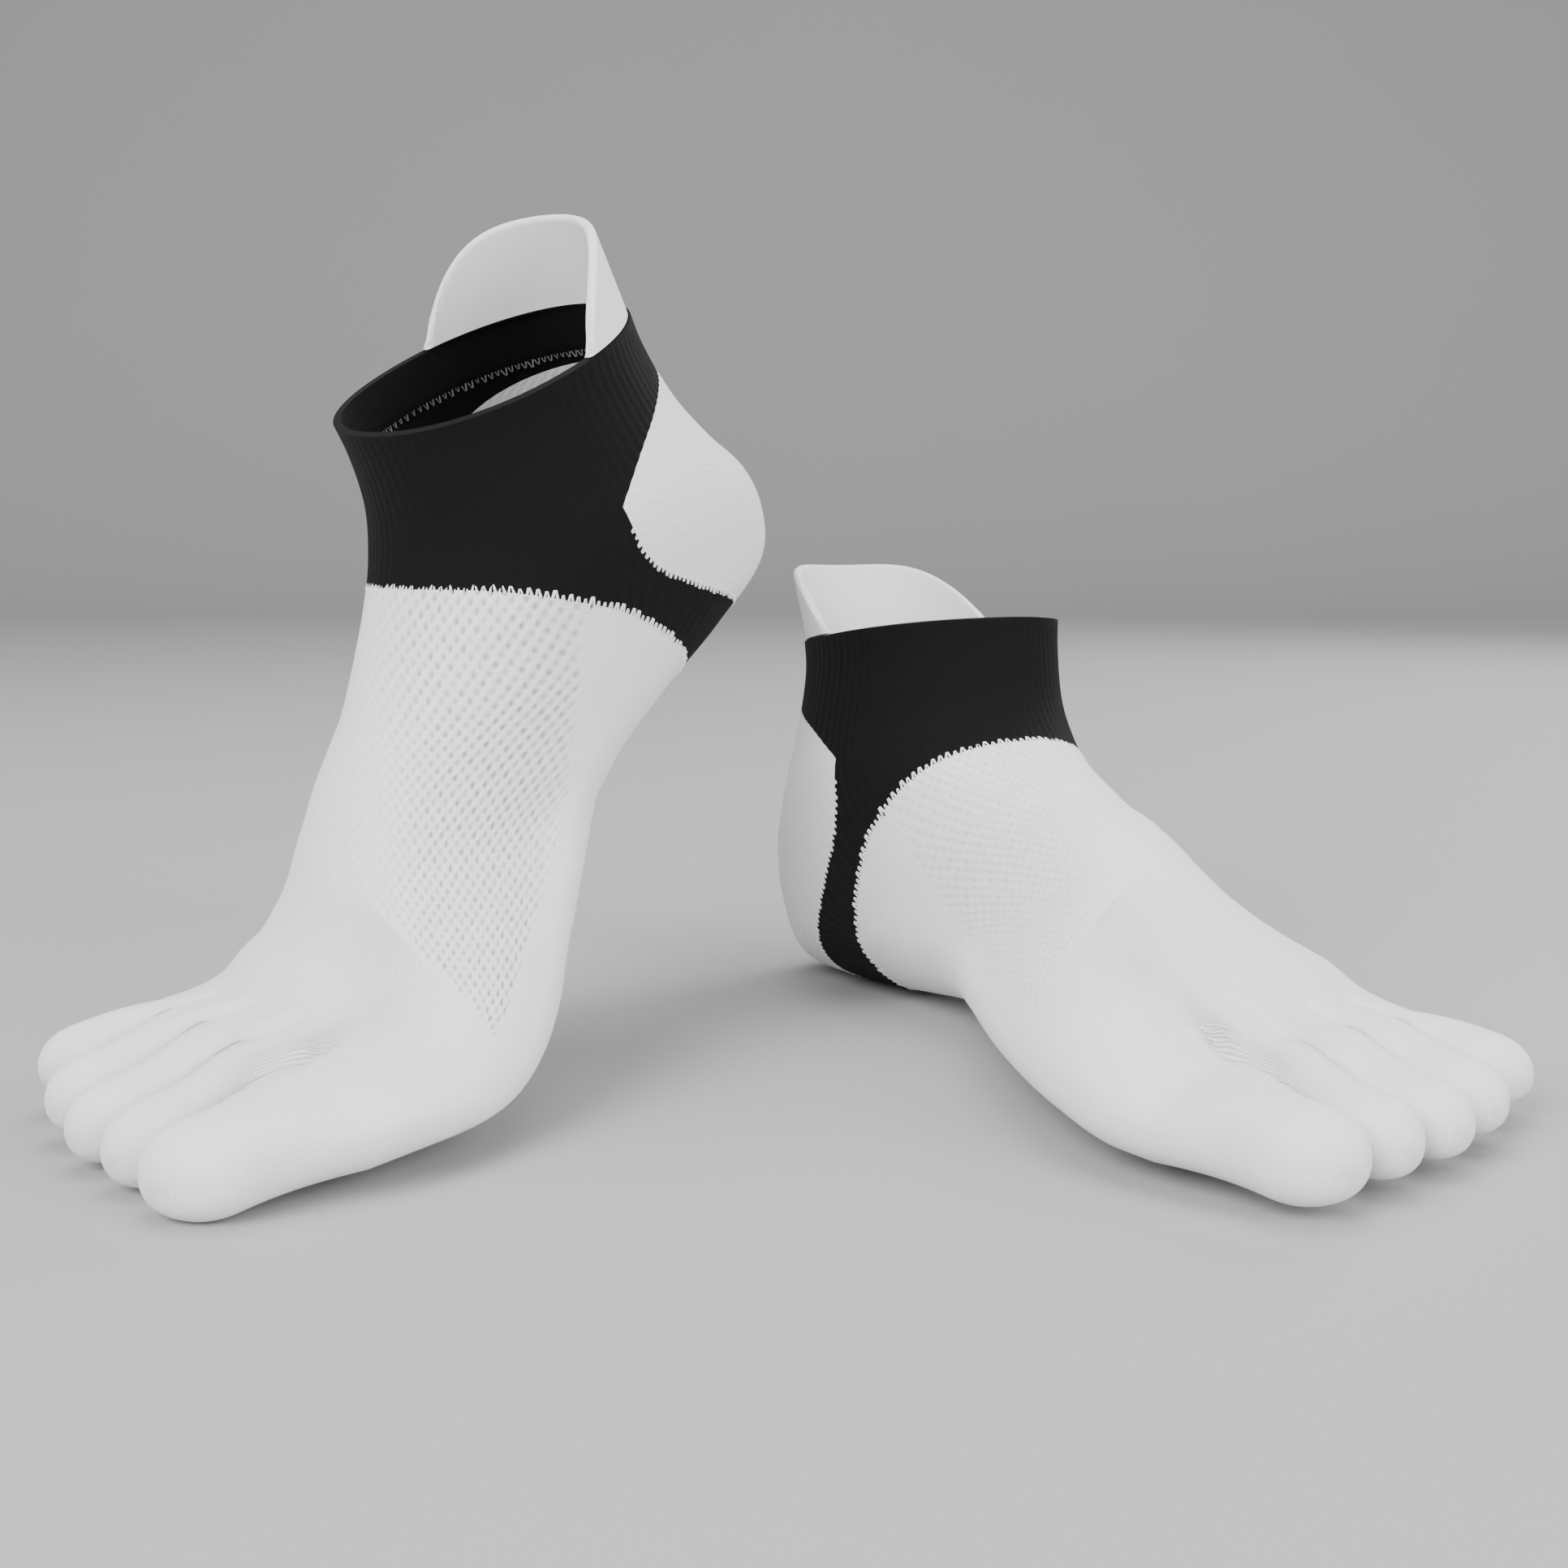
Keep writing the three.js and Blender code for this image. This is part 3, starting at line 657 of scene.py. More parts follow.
@dataclass(frozen=True)
class Stance:
    """How one sock stands: how it is bent, turned about the ball and set down."""

    mirror: int
    heading: float
    pitch: float
    roll: float
    point: float
    toes_up: float
    tab_lean: float
    x: float
    y: float
    pivot_s: float = 180.0
    ankle: tuple[float, float] = (64.0, 66.0)
    ankle_fan: tuple[float, float] = (186.0, 83.0)
    ankle_zone: tuple[float, float] = (-4.0, 28.0)
    ball: tuple[float, float] = (180.0, 12.0)
    ball_slope: tuple[float, float] = (0.9, 0.35)
    ball_zone: tuple[float, float] = (125.0, 205.0)

    def bent(self, points: np.ndarray) -> np.ndarray:
        """Points of the straight foot, bent as this sock's ankle and ball are.

        Args:
            points: s, m and h rows.

        Returns:
            The bent points, seen from the ball.
        """
        s, m, h = points.T
        fan = np.degrees(np.arctan2(self.ankle_fan[1] - h, self.ankle_fan[0] - s))
        leg_share = 1 - smoothstep(fan, *self.ankle_zone)
        toeward = s - self.ball_slope[0] * h - self.ball_slope[1] * m
        toe_share = smoothstep(toeward, *self.ball_zone)
        above = np.maximum(0, h - SECTION_ROWS["collar"][1])
        s = s + self.tab_lean * above / TAB_RISE
        s, h = self.turned(s, h, self.ankle, math.radians(self.point) * leg_share)
        s, h = self.turned(s, h, self.ball, math.radians(self.toes_up) * toe_share)
        return np.stack([s - self.pivot_s, m * self.mirror, h], axis=-1)

    @staticmethod
    def turned(
        s: np.ndarray, h: np.ndarray, pivot: tuple[float, float], angle: np.ndarray
    ) -> tuple[np.ndarray, np.ndarray]:
        """Points turned in the side view about a pivot."""
        ds, dh = s - pivot[0], h - pivot[1]
        cos, sin = np.cos(angle), np.sin(angle)
        return pivot[0] + ds * cos - dh * sin, pivot[1] + ds * sin + dh * cos

    def placed(self, points: np.ndarray) -> np.ndarray:
        """Points of the straight foot as this sock stands, before it is lowered to the floor."""
        cosines = [math.cos(math.radians(a)) for a in (self.roll * self.mirror, self.pitch, self.heading)]
        sines = [math.sin(math.radians(a)) for a in (self.roll * self.mirror, self.pitch, self.heading)]
        about_x = np.array([[1, 0, 0], [0, cosines[0], -sines[0]], [0, sines[0], cosines[0]]])
        about_y = np.array([[cosines[1], 0, sines[1]], [0, 1, 0], [-sines[1], 0, cosines[1]]])
        about_z = np.array([[cosines[2], -sines[2], 0], [sines[2], cosines[2], 0], [0, 0, 1]])
        turn = about_z @ about_y @ about_x
        return self.bent(points) @ turn.T + np.array([self.x, self.y, 0])


class Side(Enum):
    """Which sock of the pair."""

    RIGHT = "right"
    LEFT = "left"


STANCES = {
    Side.RIGHT: Stance(
        mirror=1, heading=-124, pitch=40, roll=0, point=15, toes_up=33.5, tab_lean=3.5, x=-87.5, y=29.5
    ),
    Side.LEFT: Stance(
        mirror=-1, heading=-64, pitch=-1.5, roll=0, point=6.5, toes_up=-3.5, tab_lean=-7, x=92.5, y=26.5
    ),
}
OPENING_MIDDLE = np.array(
    [[(SECTION_ROWS["collar"][0] + SECTION_ROWS["collar"][2]) / 2, 0, SECTION_ROWS["collar"][1]]]
)
ORIGIN = STANCES[Side.RIGHT].placed(OPENING_MIDDLE)[0]


@dataclass
class Setting:
    """Where one sock lies in the frame: its stance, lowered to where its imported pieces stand."""

    side: Side
    fineness: int = 3
    spacing: float = 2.0

    def __post_init__(self) -> None:
        """Finds how far the stance has to be lowered."""
        self.stance = STANCES[self.side]
        low = min(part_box(f"{self.side.value}_{part}")[0].z for part in ("foot", "heel_pocket"))
        skin = Skin(0, FORM.last, self.spacing, FORM.rings(self.fineness), closed=True)
        form = Toes(skin, self.fineness).joined(skin.cloth(from_toes=True))
        self.drop = low / MM - self.stance.placed(form.points)[:, 2].min()

    def world(self, points: np.ndarray) -> np.ndarray:
        """Points of the straight foot in the frame, in metres."""
        placed = self.stance.placed(points)
        shift = np.array([-ORIGIN[0], -ORIGIN[1], self.drop])
        return (placed + shift) * MM

    def mesh_object(self, name: str, cloth: Cloth, material: bpy.types.Material) -> bpy.types.Object:
        """Makes a piece of cloth an object in the frame.

        Args:
            name: The object's name.
            cloth: The cloth on the straight foot.
            material: Its finish.

        Returns:
            The object, linked to the scene.
        """
        faces, knit = cloth.faces, cloth.knit
        if self.stance.mirror < 0:
            faces, knit = faces[:, ::-1], knit[:, ::-1]
        piece = solid_object(name, self.world(cloth.points), faces, material)
        layer = piece.data.uv_layers.new(name=KNIT_MAP)
        layer.data.foreach_set("uv", np.ascontiguousarray(knit, np.float32).ravel())
        for key, mark in cloth.marks.items():
            if key.startswith("tone"):
                attribute = piece.data.attributes.new(key, "FLOAT", "POINT")
                attribute.data.foreach_set("value", mark.astype(np.float32))
        return piece


def solid_object(
    name: str, points: np.ndarray, faces: np.ndarray, material: bpy.types.Material
) -> bpy.types.Object:
    """Makes a smooth-shaded object from points in metres and triangles.

    Args:
        name: The object's name.
        points: The points, in the frame.
        faces: The triangles.
        material: Its finish.

    Returns:
        The object, linked to the scene.
    """
    mesh = bpy.data.meshes.new(name)
    mesh.vertices.add(len(points))
    mesh.vertices.foreach_set("co", np.ascontiguousarray(points, np.float32).ravel())
    mesh.loops.add(faces.size)
    mesh.loops.foreach_set("vertex_index", np.ascontiguousarray(faces, np.int32).ravel())
    mesh.polygons.add(len(faces))
    mesh.polygons.foreach_set("loop_start", np.arange(0, faces.size, 3, dtype=np.int32))
    mesh.update(calc_edges=True)
    mesh.validate()
    mesh.shade_smooth()
    mesh.set_sharp_from_angle(angle=math.radians(60))
    mesh.materials.append(material)
    piece = bpy.data.objects.new(name, mesh)
    bpy.context.scene.collection.objects.link(piece)
    return piece


@dataclass(frozen=True)
class Crease:
    """A soft trough in the cloth with a low ridge along both sides."""

    spots: tuple[tuple[float, float], ...]
    depth: float
    width: float
    ridge: float = 0.3
    ridge_place: float = 1.7
    fade_power: float = 0.7
    widths_reached: float = 4.0
    steps: int = 14

    def line(self) -> np.ndarray:
        """Points along the crease on the skin, in millimetres."""
        spots = np.array(self.spots)
        t = np.linspace(0, 1, self.steps)
        at = np.linspace(0, 1, len(spots))
        return FORM.skin(np.interp(t, at, spots[:, 0]), np.interp(t, at, spots[:, 1]))

    def height(self, points: np.ndarray) -> np.ndarray:
        """How far the crease moves each point out, which is mostly inwards."""
        line = self.line()
        best = np.full(len(points), np.inf)
        share = np.zeros(len(points))
        close = np.linalg.norm(points - line.mean(axis=0), axis=1) < self.reach(line)
        near = np.nonzero(close)[0]
        for step, (start, end) in enumerate(zip(line[:-1], line[1:])):
            run = end - start
            along = np.clip((points[near] - start) @ run / (run @ run), 0, 1)
            gap = np.linalg.norm(points[near] - start - along[:, None] * run, axis=1)
            nearer = gap < best[near]
            best[near] = np.where(nearer, gap, best[near])
            share[near] = np.where(nearer, (step + along) / (self.steps - 1), share[near])
        fade = np.sin(math.pi * np.clip(share, 0, 1)) ** self.fade_power
        scaled = best / self.width
        trough = -np.exp(-(scaled**2))
        ridge = self.ridge * np.exp(-((scaled - self.ridge_place) ** 2) * 2)
        return np.where(np.isfinite(best), self.depth * fade * (trough + ridge), 0)

    def reach(self, line: np.ndarray) -> float:
        """How far from the crease's middle it still moves the cloth."""
        half_length = np.linalg.norm(line - line.mean(axis=0), axis=1).max()
        return half_length + self.widths_reached * self.width


TOE_CREASES = (
    Crease(((15.2, 3.0), (14.2, 3.2), (13.1, 4.2)), 2.6, 1.8),
    Crease(((15.2, 6.0), (14.1, 6.0), (12.9, 6.5)), 1.2, 2.4),
    Crease(((15.2, 9.0), (14.3, 9.0), (13.3, 9.2)), 1.0, 2.3),
    Crease(((15.2, 12.0), (14.4, 11.9), (13.6, 11.7)), 0.9, 2.2),
    Crease(((15.2, 30.0), (14.2, 30.0), (13.2, 29.6)), 1.1, 2.6),
    Crease(((15.2, 27.0), (14.3, 27.0), (13.5, 26.8)), 0.9, 2.3),
    Crease(((15.2, 24.0), (14.4, 24.0), (13.7, 24.1)), 0.8, 2.3),
    Crease(((15.2, 21.0), (14.5, 21.1), (13.9, 21.3)), 0.8, 2.2),
)
TIPTOE_CREASES = (
    Crease(((13.2, 1.2), (13.5, 3.2), (13.3, 5.4)), 0.55, 3.4),
    Crease(((12.2, 4.2), (12.5, 7.6), (12.3, 10.4)), 0.45, 4.2),
    Crease(((11.2, 9.4), (11.6, 12.0), (11.3, 14.6)), 0.4, 4.0),
    Crease(((9.8, 33.4), (9.2, 30.2), (9.6, 27.4)), 0.6, 4.6),
    Crease(((10.9, 31.8), (10.5, 29.4), (10.8, 26.6)), 0.5, 4.0),
    Crease(((3.4, 20.6), (3.7, 24.2), (3.5, 27.4)), 0.45, 3.6),
)
FLAT_CREASES = (
    Crease(((4.3, 3.4), (4.7, 6.6), (4.4, 9.6)), 0.5, 4.4),
    Crease(((5.9, 5.0), (6.2, 8.2), (5.8, 11.4)), 0.4, 5.0),
    Crease(((12.6, 2.4), (12.9, 5.4), (12.5, 8.8)), 0.4, 4.4),
    Crease(((9.9, 32.9), (9.3, 30.8), (9.7, 28.0)), 0.5, 4.6),
    Crease(((7.6, 15.8), (8.2, 17.6), (8.7, 18.8)), 0.4, 4.2),
)
CREASES = {Side.RIGHT: TOE_CREASES + TIPTOE_CREASES, Side.LEFT: TOE_CREASES + FLAT_CREASES}


def crease_height(side: Side, points: np.ndarray) -> np.ndarray:
    """The height of all of a sock's creases together, in millimetres."""
    return sum(crease.height(points) for crease in CREASES[side])


class Value:
    """A number in a shader tree, which adds Math nodes as it is used in an expression."""

    def __init__(self, shader: Shader, socket: bpy.types.NodeSocket) -> None:
        """Wraps a socket of the shader's tree."""
        self.shader = shader
        self.socket = socket

    def __add__(self, other: Value | float) -> Value:
        """The sum."""
        return self.shader.math("ADD", self, other)

    def __sub__(self, other: Value | float) -> Value:
        """The difference."""
        return self.shader.math("SUBTRACT", self, other)

    def __rsub__(self, other: float) -> Value:
        """The difference from a number."""
        return self.shader.math("SUBTRACT", other, self)

    def __mul__(self, other: Value | float) -> Value:
        """The product."""
        return self.shader.math("MULTIPLY", self, other)

    def __truediv__(self, other: Value | float) -> Value:
        """The quotient."""
        return self.shader.math("DIVIDE", self, other)

    def __pow__(self, other: Value | float) -> Value:
        """The power."""
        return self.shader.math("POWER", self, other)

    def __abs__(self) -> Value:
        """The size without its sign."""
        return self.shader.math("ABSOLUTE", self)

    __radd__ = __add__
    __rmul__ = __mul__

    def fraction(self) -> Value:
        """What is left above the whole number below."""
        return self.shader.math("FRACT", self)

    def wave(self) -> Value:
        """A sine wave that repeats each time the value grows by 1, from 0 to 1."""
        return self.shader.math("SINE", self * math.tau) * 0.5 + 0.5


class NodeTree:
    """A node tree with a short way to add nodes."""

    def __init__(self, tree: bpy.types.NodeTree) -> None:
        """Wraps the tree."""
        self.tree = tree

    def node(self, kind: str, settings: dict | None = None, inputs: dict | None = None) -> bpy.types.Node:
        """Adds a node.

        Args:
            kind: The node's type.
            settings: Its own settings, set before its inputs.
            inputs: A number, colour, Value or socket for each input, by name or number.

        Returns:
            The node.
        """
        node = self.tree.nodes.new(kind)
        for key, value in (settings or {}).items():
            setattr(node, key, value)
        for key, value in (inputs or {}).items():
            self.feed(node.inputs[key], value)
        return node

    def feed(
        self, socket: bpy.types.NodeSocket, value: Value | bpy.types.NodeSocket | float | tuple
    ) -> None:
        """Sets an input, or links it."""
        if isinstance(value, Value):
            value = value.socket
        if isinstance(value, bpy.types.NodeSocket):
            self.tree.links.new(value, socket)
        else:
            socket.default_value = value


class Shader(NodeTree):
    """A material's node tree."""

    def __init__(self, name: str) -> None:
        """Starts an empty material."""
        self.material = bpy.data.materials.new(name)
        self.material.use_nodes = True
        super().__init__(self.material.node_tree)
        self.tree.nodes.clear()

    def math(self, operation: str, *numbers: Value | float) -> Value:
        """A Math node's result."""
        node = self.node("ShaderNodeMath", {"operation": operation}, dict(enumerate(numbers)))
        return Value(self, node.outputs[0])

    def knit_place(self) -> tuple[Value, Value]:
        """The wale and the distance along the wales, from the piece's knit map."""
        place = self.node("ShaderNodeUVMap", {"uv_map": KNIT_MAP})
        parts = self.node("ShaderNodeSeparateXYZ", inputs={0: place.outputs[0]})
        return Value(self, parts.outputs[0]), Value(self, parts.outputs[1])

    def noise(self, scale: float, detail: float = 2.0) -> Value:
        """Soft noise over the piece, from 0 to 1, with patches of about 1 / scale metres."""
        place = self.node("ShaderNodeTexCoord")
        inputs = {"Vector": place.outputs["Object"], "Scale": scale, "Detail": detail}
        node = self.node("ShaderNodeTexNoise", inputs=inputs)
        return Value(self, node.outputs["Fac"])

    def tone(self, name: str) -> Value:
        """A value stored on the piece's points."""
        node = self.node("ShaderNodeAttribute", {"attribute_name": name})
        return Value(self, node.outputs["Fac"])

    def mixed(
        self, share: Value | float, first: tuple | bpy.types.NodeSocket, second: tuple
    ) -> bpy.types.NodeSocket:
        """A colour between two, by share."""
        node = self.node("ShaderNodeMix", {"data_type": "RGBA"}, {"Factor": share})
        self.feed(node.inputs[6], first)
        self.feed(node.inputs[7], second)
        return node.outputs[2]

    def bump(self, height: Value, distance: float, strength: float) -> bpy.types.NodeSocket:
        """The normal of a surface with this height raised on it."""
        inputs = {"Height": height, "Distance": distance, "Strength": strength}
        return self.node("ShaderNodeBump", inputs=inputs).outputs[0]

    def cloth(
        self,
        colour: bpy.types.NodeSocket,
        normal: bpy.types.NodeSocket,
        roughness: Value | float,
        sheen: float,
        specular: float,
    ) -> bpy.types.Material:
        """Ends the tree in a cloth surface, and returns the material."""
        inputs = {
            "Base Color": colour,
            "Roughness": roughness,
            "Sheen Weight": sheen,
            "Sheen Roughness": 0.5,
            "Specular IOR Level": specular,
            "Normal": normal,
        }
        surface = self.node("ShaderNodeBsdfPrincipled", inputs=inputs)
        self.node("ShaderNodeOutputMaterial", inputs={"Surface": surface.outputs[0]})
        return self.material


def grey(level: float) -> tuple[float, float, float, float]:
    """A grey colour."""
    return (level, level, level, 1.0)


@dataclass(frozen=True)
class Jersey:
    """Plain knit: columns of V stitches, painted darker in their hollows as shade, with the yarn's own
    unevenness.
    """

    name: str
    light: tuple[float, float, float, float]
    dark: tuple[float, float, float, float]
    columns_per_wale: float = 2.0
    course: float = 0.85
    slope: float = 0.9
    relief: float = 0.00022
    strength: float = 0.5
    roughness: float = 0.92
    sheen: float = 0.15
    specular: float = 0.2
    ribbed: bool = False
    holes: bool = False
    # How strongly shade is painted into the wale furrows; furrow_depth is their bump.
    furrow: float = 0.95
    furrow_depth: float = 1.5
    fuzz_scale: float = 2600.0
    patch_scale: float = 60.0
    tone_shares: tuple[float, float, float] = (0.45, 0.35, 0.2)
    # The grey that is painted as shade into the wale furrows and the net's eyelets.
    painted_shade_colour: tuple[float, float, float, float] = (0.4, 0.39, 0.38, 1.0)

    def stitches(self, shader: Shader) -> Value:
        """The height of the V stitches, from 0 to 1."""
        wale, along = shader.knit_place()
        across = abs((wale * self.columns_per_wale).fraction() - 0.5)
        leg = (along / self.course + across * self.slope).wave()
        column = 1 - (across * 2) ** 4
        return leg * 0.7 * column + column * 0.3

    def material(self) -> bpy.types.Material:
        """The finish as a Blender material."""
        shader = Shader(self.name)
        stitches = self.stitches(shader)
        fuzz = shader.noise(self.fuzz_scale, 3.0)
        patches = shader.noise(self.patch_scale, 3.0)
        of_stitches, of_fuzz, of_patches = self.tone_shares
        # The stitch share paints shade into the hollows between stitches; the fuzz and patch shares are the
        # yarn's own uneven tone.
        share = stitches * of_stitches + fuzz * of_fuzz + patches * of_patches
        colour = shader.mixed(share, self.dark, self.light)
        height = stitches * 0.75 + fuzz * 0.25
        if self.ribbed:
            wale, _ = shader.knit_place()
            # Shade painted into the furrows between wales, strongest on the ball and in the grooves between
            # the toes; the same furrows are also bumped in.
            furrow = (1 - (wale * self.columns_per_wale).wave()) * shader.tone("tone_rib")
            colour = shader.mixed(furrow * self.furrow, colour, self.painted_shade_colour)
            height = height - furrow * self.furrow_depth
        if self.holes:
            # The eyelets are dents, and shade is painted into them.
            colour = shader.mixed(shader.tone("tone_hole"), colour, self.painted_shade_colour)
        normal = shader.bump(height, self.relief, self.strength)
        return shader.cloth(colour, normal, self.roughness, self.sheen, self.specular)


@dataclass(frozen=True)
class SlantedRib(Jersey):
    """Heel knit: fine ribs that slant across the wales, over plain stitches."""

    rib_slope: float = 0.55
    rib_pitch: float = 2.6

    def stitches(self, shader: Shader) -> Value:
        """The height of the ribs and stitches, from 0 to 1."""
        plain = super().stitches(shader)
        wale, along = shader.knit_place()
        ribs = (along / self.rib_pitch + wale * self.rib_slope).wave()
        # Through the colour share, the hollows between the ribs are painted darker as shade too.
        return ribs * 0.5 + plain * 0.5


class Finishes:
    """All the finishes of the pair, as materials."""

    def __init__(self) -> None:
        """Makes every material once."""
        # The darker grey of each pair is mixed in as painted shade in the stitch hollows, and as the yarn's
        # random tone.
        white, white_dark = grey(0.9), grey(0.82)
        black, black_dark = grey(0.006), grey(0.003)
        self.foot = Jersey("white_foot_knit", white, white_dark, ribbed=True).material()
        self.net = Jersey("white_net_knit", white, white_dark, holes=True).material()
        self.rib = Jersey(
            "black_rib_knit", black, black_dark, course=0.8, relief=0.0002, roughness=0.85, sheen=0.02,
            specular=0.12,
        ).material()
        self.heel = SlantedRib("white_heel_knit", grey(0.89), grey(0.78), strength=0.7).material()
        self.tab = Jersey(
            "white_tab_knit", grey(0.89), grey(0.82), 3.0, 0.6, relief=0.00015, strength=0.4
        ).material()
        self.white_yarn = Jersey("white_yarn", grey(0.9), grey(0.8), 1.0, 0.3, relief=0.0001).material()
        self.grey_yarn = Jersey("grey_seam_yarn", grey(0.36), grey(0.12), 1.0, 0.3, relief=0.0001).material()


@dataclass(frozen=True)
class Cut:
    """What one piece of knit was before it was worn: its width and length, and its flat share of them."""

    width: float
    length: float
    share: float
    held: str = "stretched"

    def declare(self, piece: bpy.types.Object) -> None:
        area = self.width * self.length * self.share


def dress(piece: bpy.types.Object, node: str, cut: Cut | None = None) -> None:
    """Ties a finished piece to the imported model.

    Args:
        piece: The piece.
        node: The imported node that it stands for, or helps to.
        cut: Its cut, where it is a sheet of cloth.
    """
    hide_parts(node)
    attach(piece, BODY)
    if cut is not None:
        cut.declare(piece)
    area = sum(face.area for face in piece.data.polygons) / 2
    triangles = sum(len(face.vertices) - 2 for face in piece.data.polygons)
    LOG.info("%s: %d triangles, %.4f square metres", piece.name, triangles, area)


@dataclass
class KnitPiece:
    """A piece of one sock, knitted to the foot's form."""

    setting: Setting
    finishes: Finishes

    def creased(self, cloth: Cloth) -> np.ndarray:
        """The height of the sock's creases at each point of a cloth."""
        return crease_height(self.setting.side, cloth.points)

    def finished(
        self, name: str, cloth: Cloth, finish: bpy.types.Material, node: str, slot: str, cut: Cut
    ) -> bpy.types.Object:
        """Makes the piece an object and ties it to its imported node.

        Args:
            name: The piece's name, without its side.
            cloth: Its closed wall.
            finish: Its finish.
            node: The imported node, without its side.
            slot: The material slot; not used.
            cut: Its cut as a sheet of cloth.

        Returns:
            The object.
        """
        side = self.setting.side.value
        piece = self.setting.mesh_object(f"{side}_{name}", cloth, finish)
        dress(piece, f"{side}_{node}", cut)
        return piece


@dataclass
class NetPanel(KnitPiece):
    """The open net over the instep: eyelets in offset rows, raised on a finer skin of their own."""

    outline: tuple[tuple[float, float], ...] = (
        (2.2, 13.2), (6.0, 13.6), (9.0, 14.6), (10.6, 15.2), (11.4, 14.6), (10.4, 11.6), (9.3, 7.6),
        (9.5, 6.5), (10.5, 4.1), (11.5, 0.4), (10.7, -0.4), (10.0, -1.4), (9.3, -2.3), (8.6, -2.0),
        (7.6, -0.9), (6.6, 0.1), (5.5, 0.8), (4.4, 1.0), (2.2, 1.6),
    )
    step_size: float = 6.6
    place_size: float = 9.6
    wrap_after: float = 24
    reach: tuple[float, float] = (1.6, 12.0)
    margin: float = 0.5
    spacing: float = 0.6
    columns_per_step: int = 12
    across: float = 0.46
    along: float = 3.8
    wale_share: float = 0.85
    travel_ring: float = 4.0
    travel_places: tuple[float, float, float] = (-2, 15, 0.1)
    hole_width: float = 0.68
    hole_length: float = 1.3
    hole_power: float = 1.5
    hole_fade: tuple[float, float] = (0.1, 1.0)
    depth: float = 0.55
    inner_share: float = 0.3
    faint: float = 0.2
    centre: float = 4.7
    clear_steps: tuple[float, float] = (1.6, 4.8)
    drift: float = 3.0
    drift_places: tuple[float, float] = (3, 9)
    level: float = 0.14
    level_places: tuple[float, float] = (8, 11)
    unevenness: float = 0.18
    uneven_turns: tuple[float, float] = (2.3, 1.7)
    edge_fade: tuple[float, float] = (0.2, 1.6)
    wall: float = 1.0
    shown: dict[Side, float] = field(default_factory=lambda: {Side.RIGHT: 1.0, Side.LEFT: 0.4})

    def region(self, place: np.ndarray, ring: np.ndarray) -> np.ndarray:
        """How far each spot lies inside the panel's outline, in millimetres.

        Args:
            place: Places along the foot.
            ring: Ring steps, counted on past 0 over the inner side.

        Returns:
            Distances, positive inside.
        """
        scale = np.array([self.place_size, self.step_size])
        corners = np.array(self.outline) * scale
        wrapped = np.where(ring > self.wrap_after, ring - FORM.ring_steps, ring)
        spots = np.stack([place, wrapped], axis=1) * scale
        gap = np.full(len(spots), np.inf)
        crossings = np.zeros(len(spots), int)
        for start, end in zip(corners, np.roll(corners, -1, axis=0)):
            run = end - start
            share = np.clip((spots - start) @ run / (run @ run), 0, 1)
            gap = np.minimum(gap, np.linalg.norm(spots - start - share[:, None] * run, axis=1))
            spans = (start[1] > spots[:, 1]) != (end[1] > spots[:, 1])
            rise = end[1] - start[1]
            at = start[0] + (spots[:, 1] - start[1]) * run[0] / (rise if rise else 1)
            crossings += spans & (spots[:, 0] < at)
        return np.where(crossings % 2 == 1, gap, -gap)

    def eyelets(self, cloth: Cloth) -> tuple[np.ndarray, np.ndarray]:
        """The depth of the eyelets at each point, and how dark they are painted as shade inside them, from 0
        to 1.
        """
        place, ring = cloth.marks["place"], cloth.marks["ring"]
        column_at = ring + self.drift * smoothstep(place, *self.drift_places)
        upper = 1 - smoothstep(place, *self.level_places)
        level_place = place + self.level * (ring - self.centre) * upper
        places = np.arange(*self.travel_places)
        travel = travel_along(FORM.skin(np.clip(places, 0, FORM.last), self.travel_ring))
        along = np.interp(level_place, places, travel)
        row = np.round(along / (self.along / 2))
        shift = np.where(row % 2 == 0, 0, self.across / 2)
        column = np.round((column_at - shift) / self.across)
        off_wale = (column_at - shift - column * self.across) * self.step_size * self.wale_share
        off_along = along - row * self.along / 2
        away = (np.abs(off_wale) / self.hole_width) ** self.hole_power
        away += (np.abs(off_along) / self.hole_length) ** self.hole_power
        hole = 1 - smoothstep(away, *self.hole_fade)
        clear = 1 - smoothstep(np.abs(column_at - self.centre), *self.clear_steps)
        strength = self.faint + (1 - self.faint) * clear
        turns = row * self.uneven_turns[0] + column * self.uneven_turns[1]
        uneven = (1 - self.unevenness) + self.unevenness * np.sin(turns)
        inside = smoothstep(self.region(place, ring), *self.edge_fade)
        shown = self.shown[self.setting.side] * strength * uneven * inside
        return hole * shown * self.depth, np.clip(hole * shown, 0, 1)

    def build(self) -> bpy.types.Object:
        """Builds the panel and ties it to the foot's node."""
        low = min(spot[1] for spot in self.outline) - self.margin
        high = max(spot[1] for spot in self.outline) + self.margin
        rings = np.linspace(low, high, round((high - low) * self.columns_per_step) + 1)
        skin = Skin(*self.reach, self.spacing, rings, closed=False)
        cloth = skin.cloth(from_toes=False).with_normals()
        cloth = cloth.cut(self.region(cloth.marks["place"], cloth.marks["ring"]))
        cloth = cloth.cut(foot_field(cloth.points))
        creased = self.creased(cloth)
        # The eyelets' second value is the shade painted inside them.
        depth, cloth.marks["tone_hole"] = self.eyelets(cloth)
        panel = cloth.walled(creased - depth, creased - self.wall - depth * self.inner_share)
        cut = Cut(0.1, 0.11, 0.8)
        return self.finished("net_panel", panel, self.finishes.net, "foot", "foot_knit", cut)


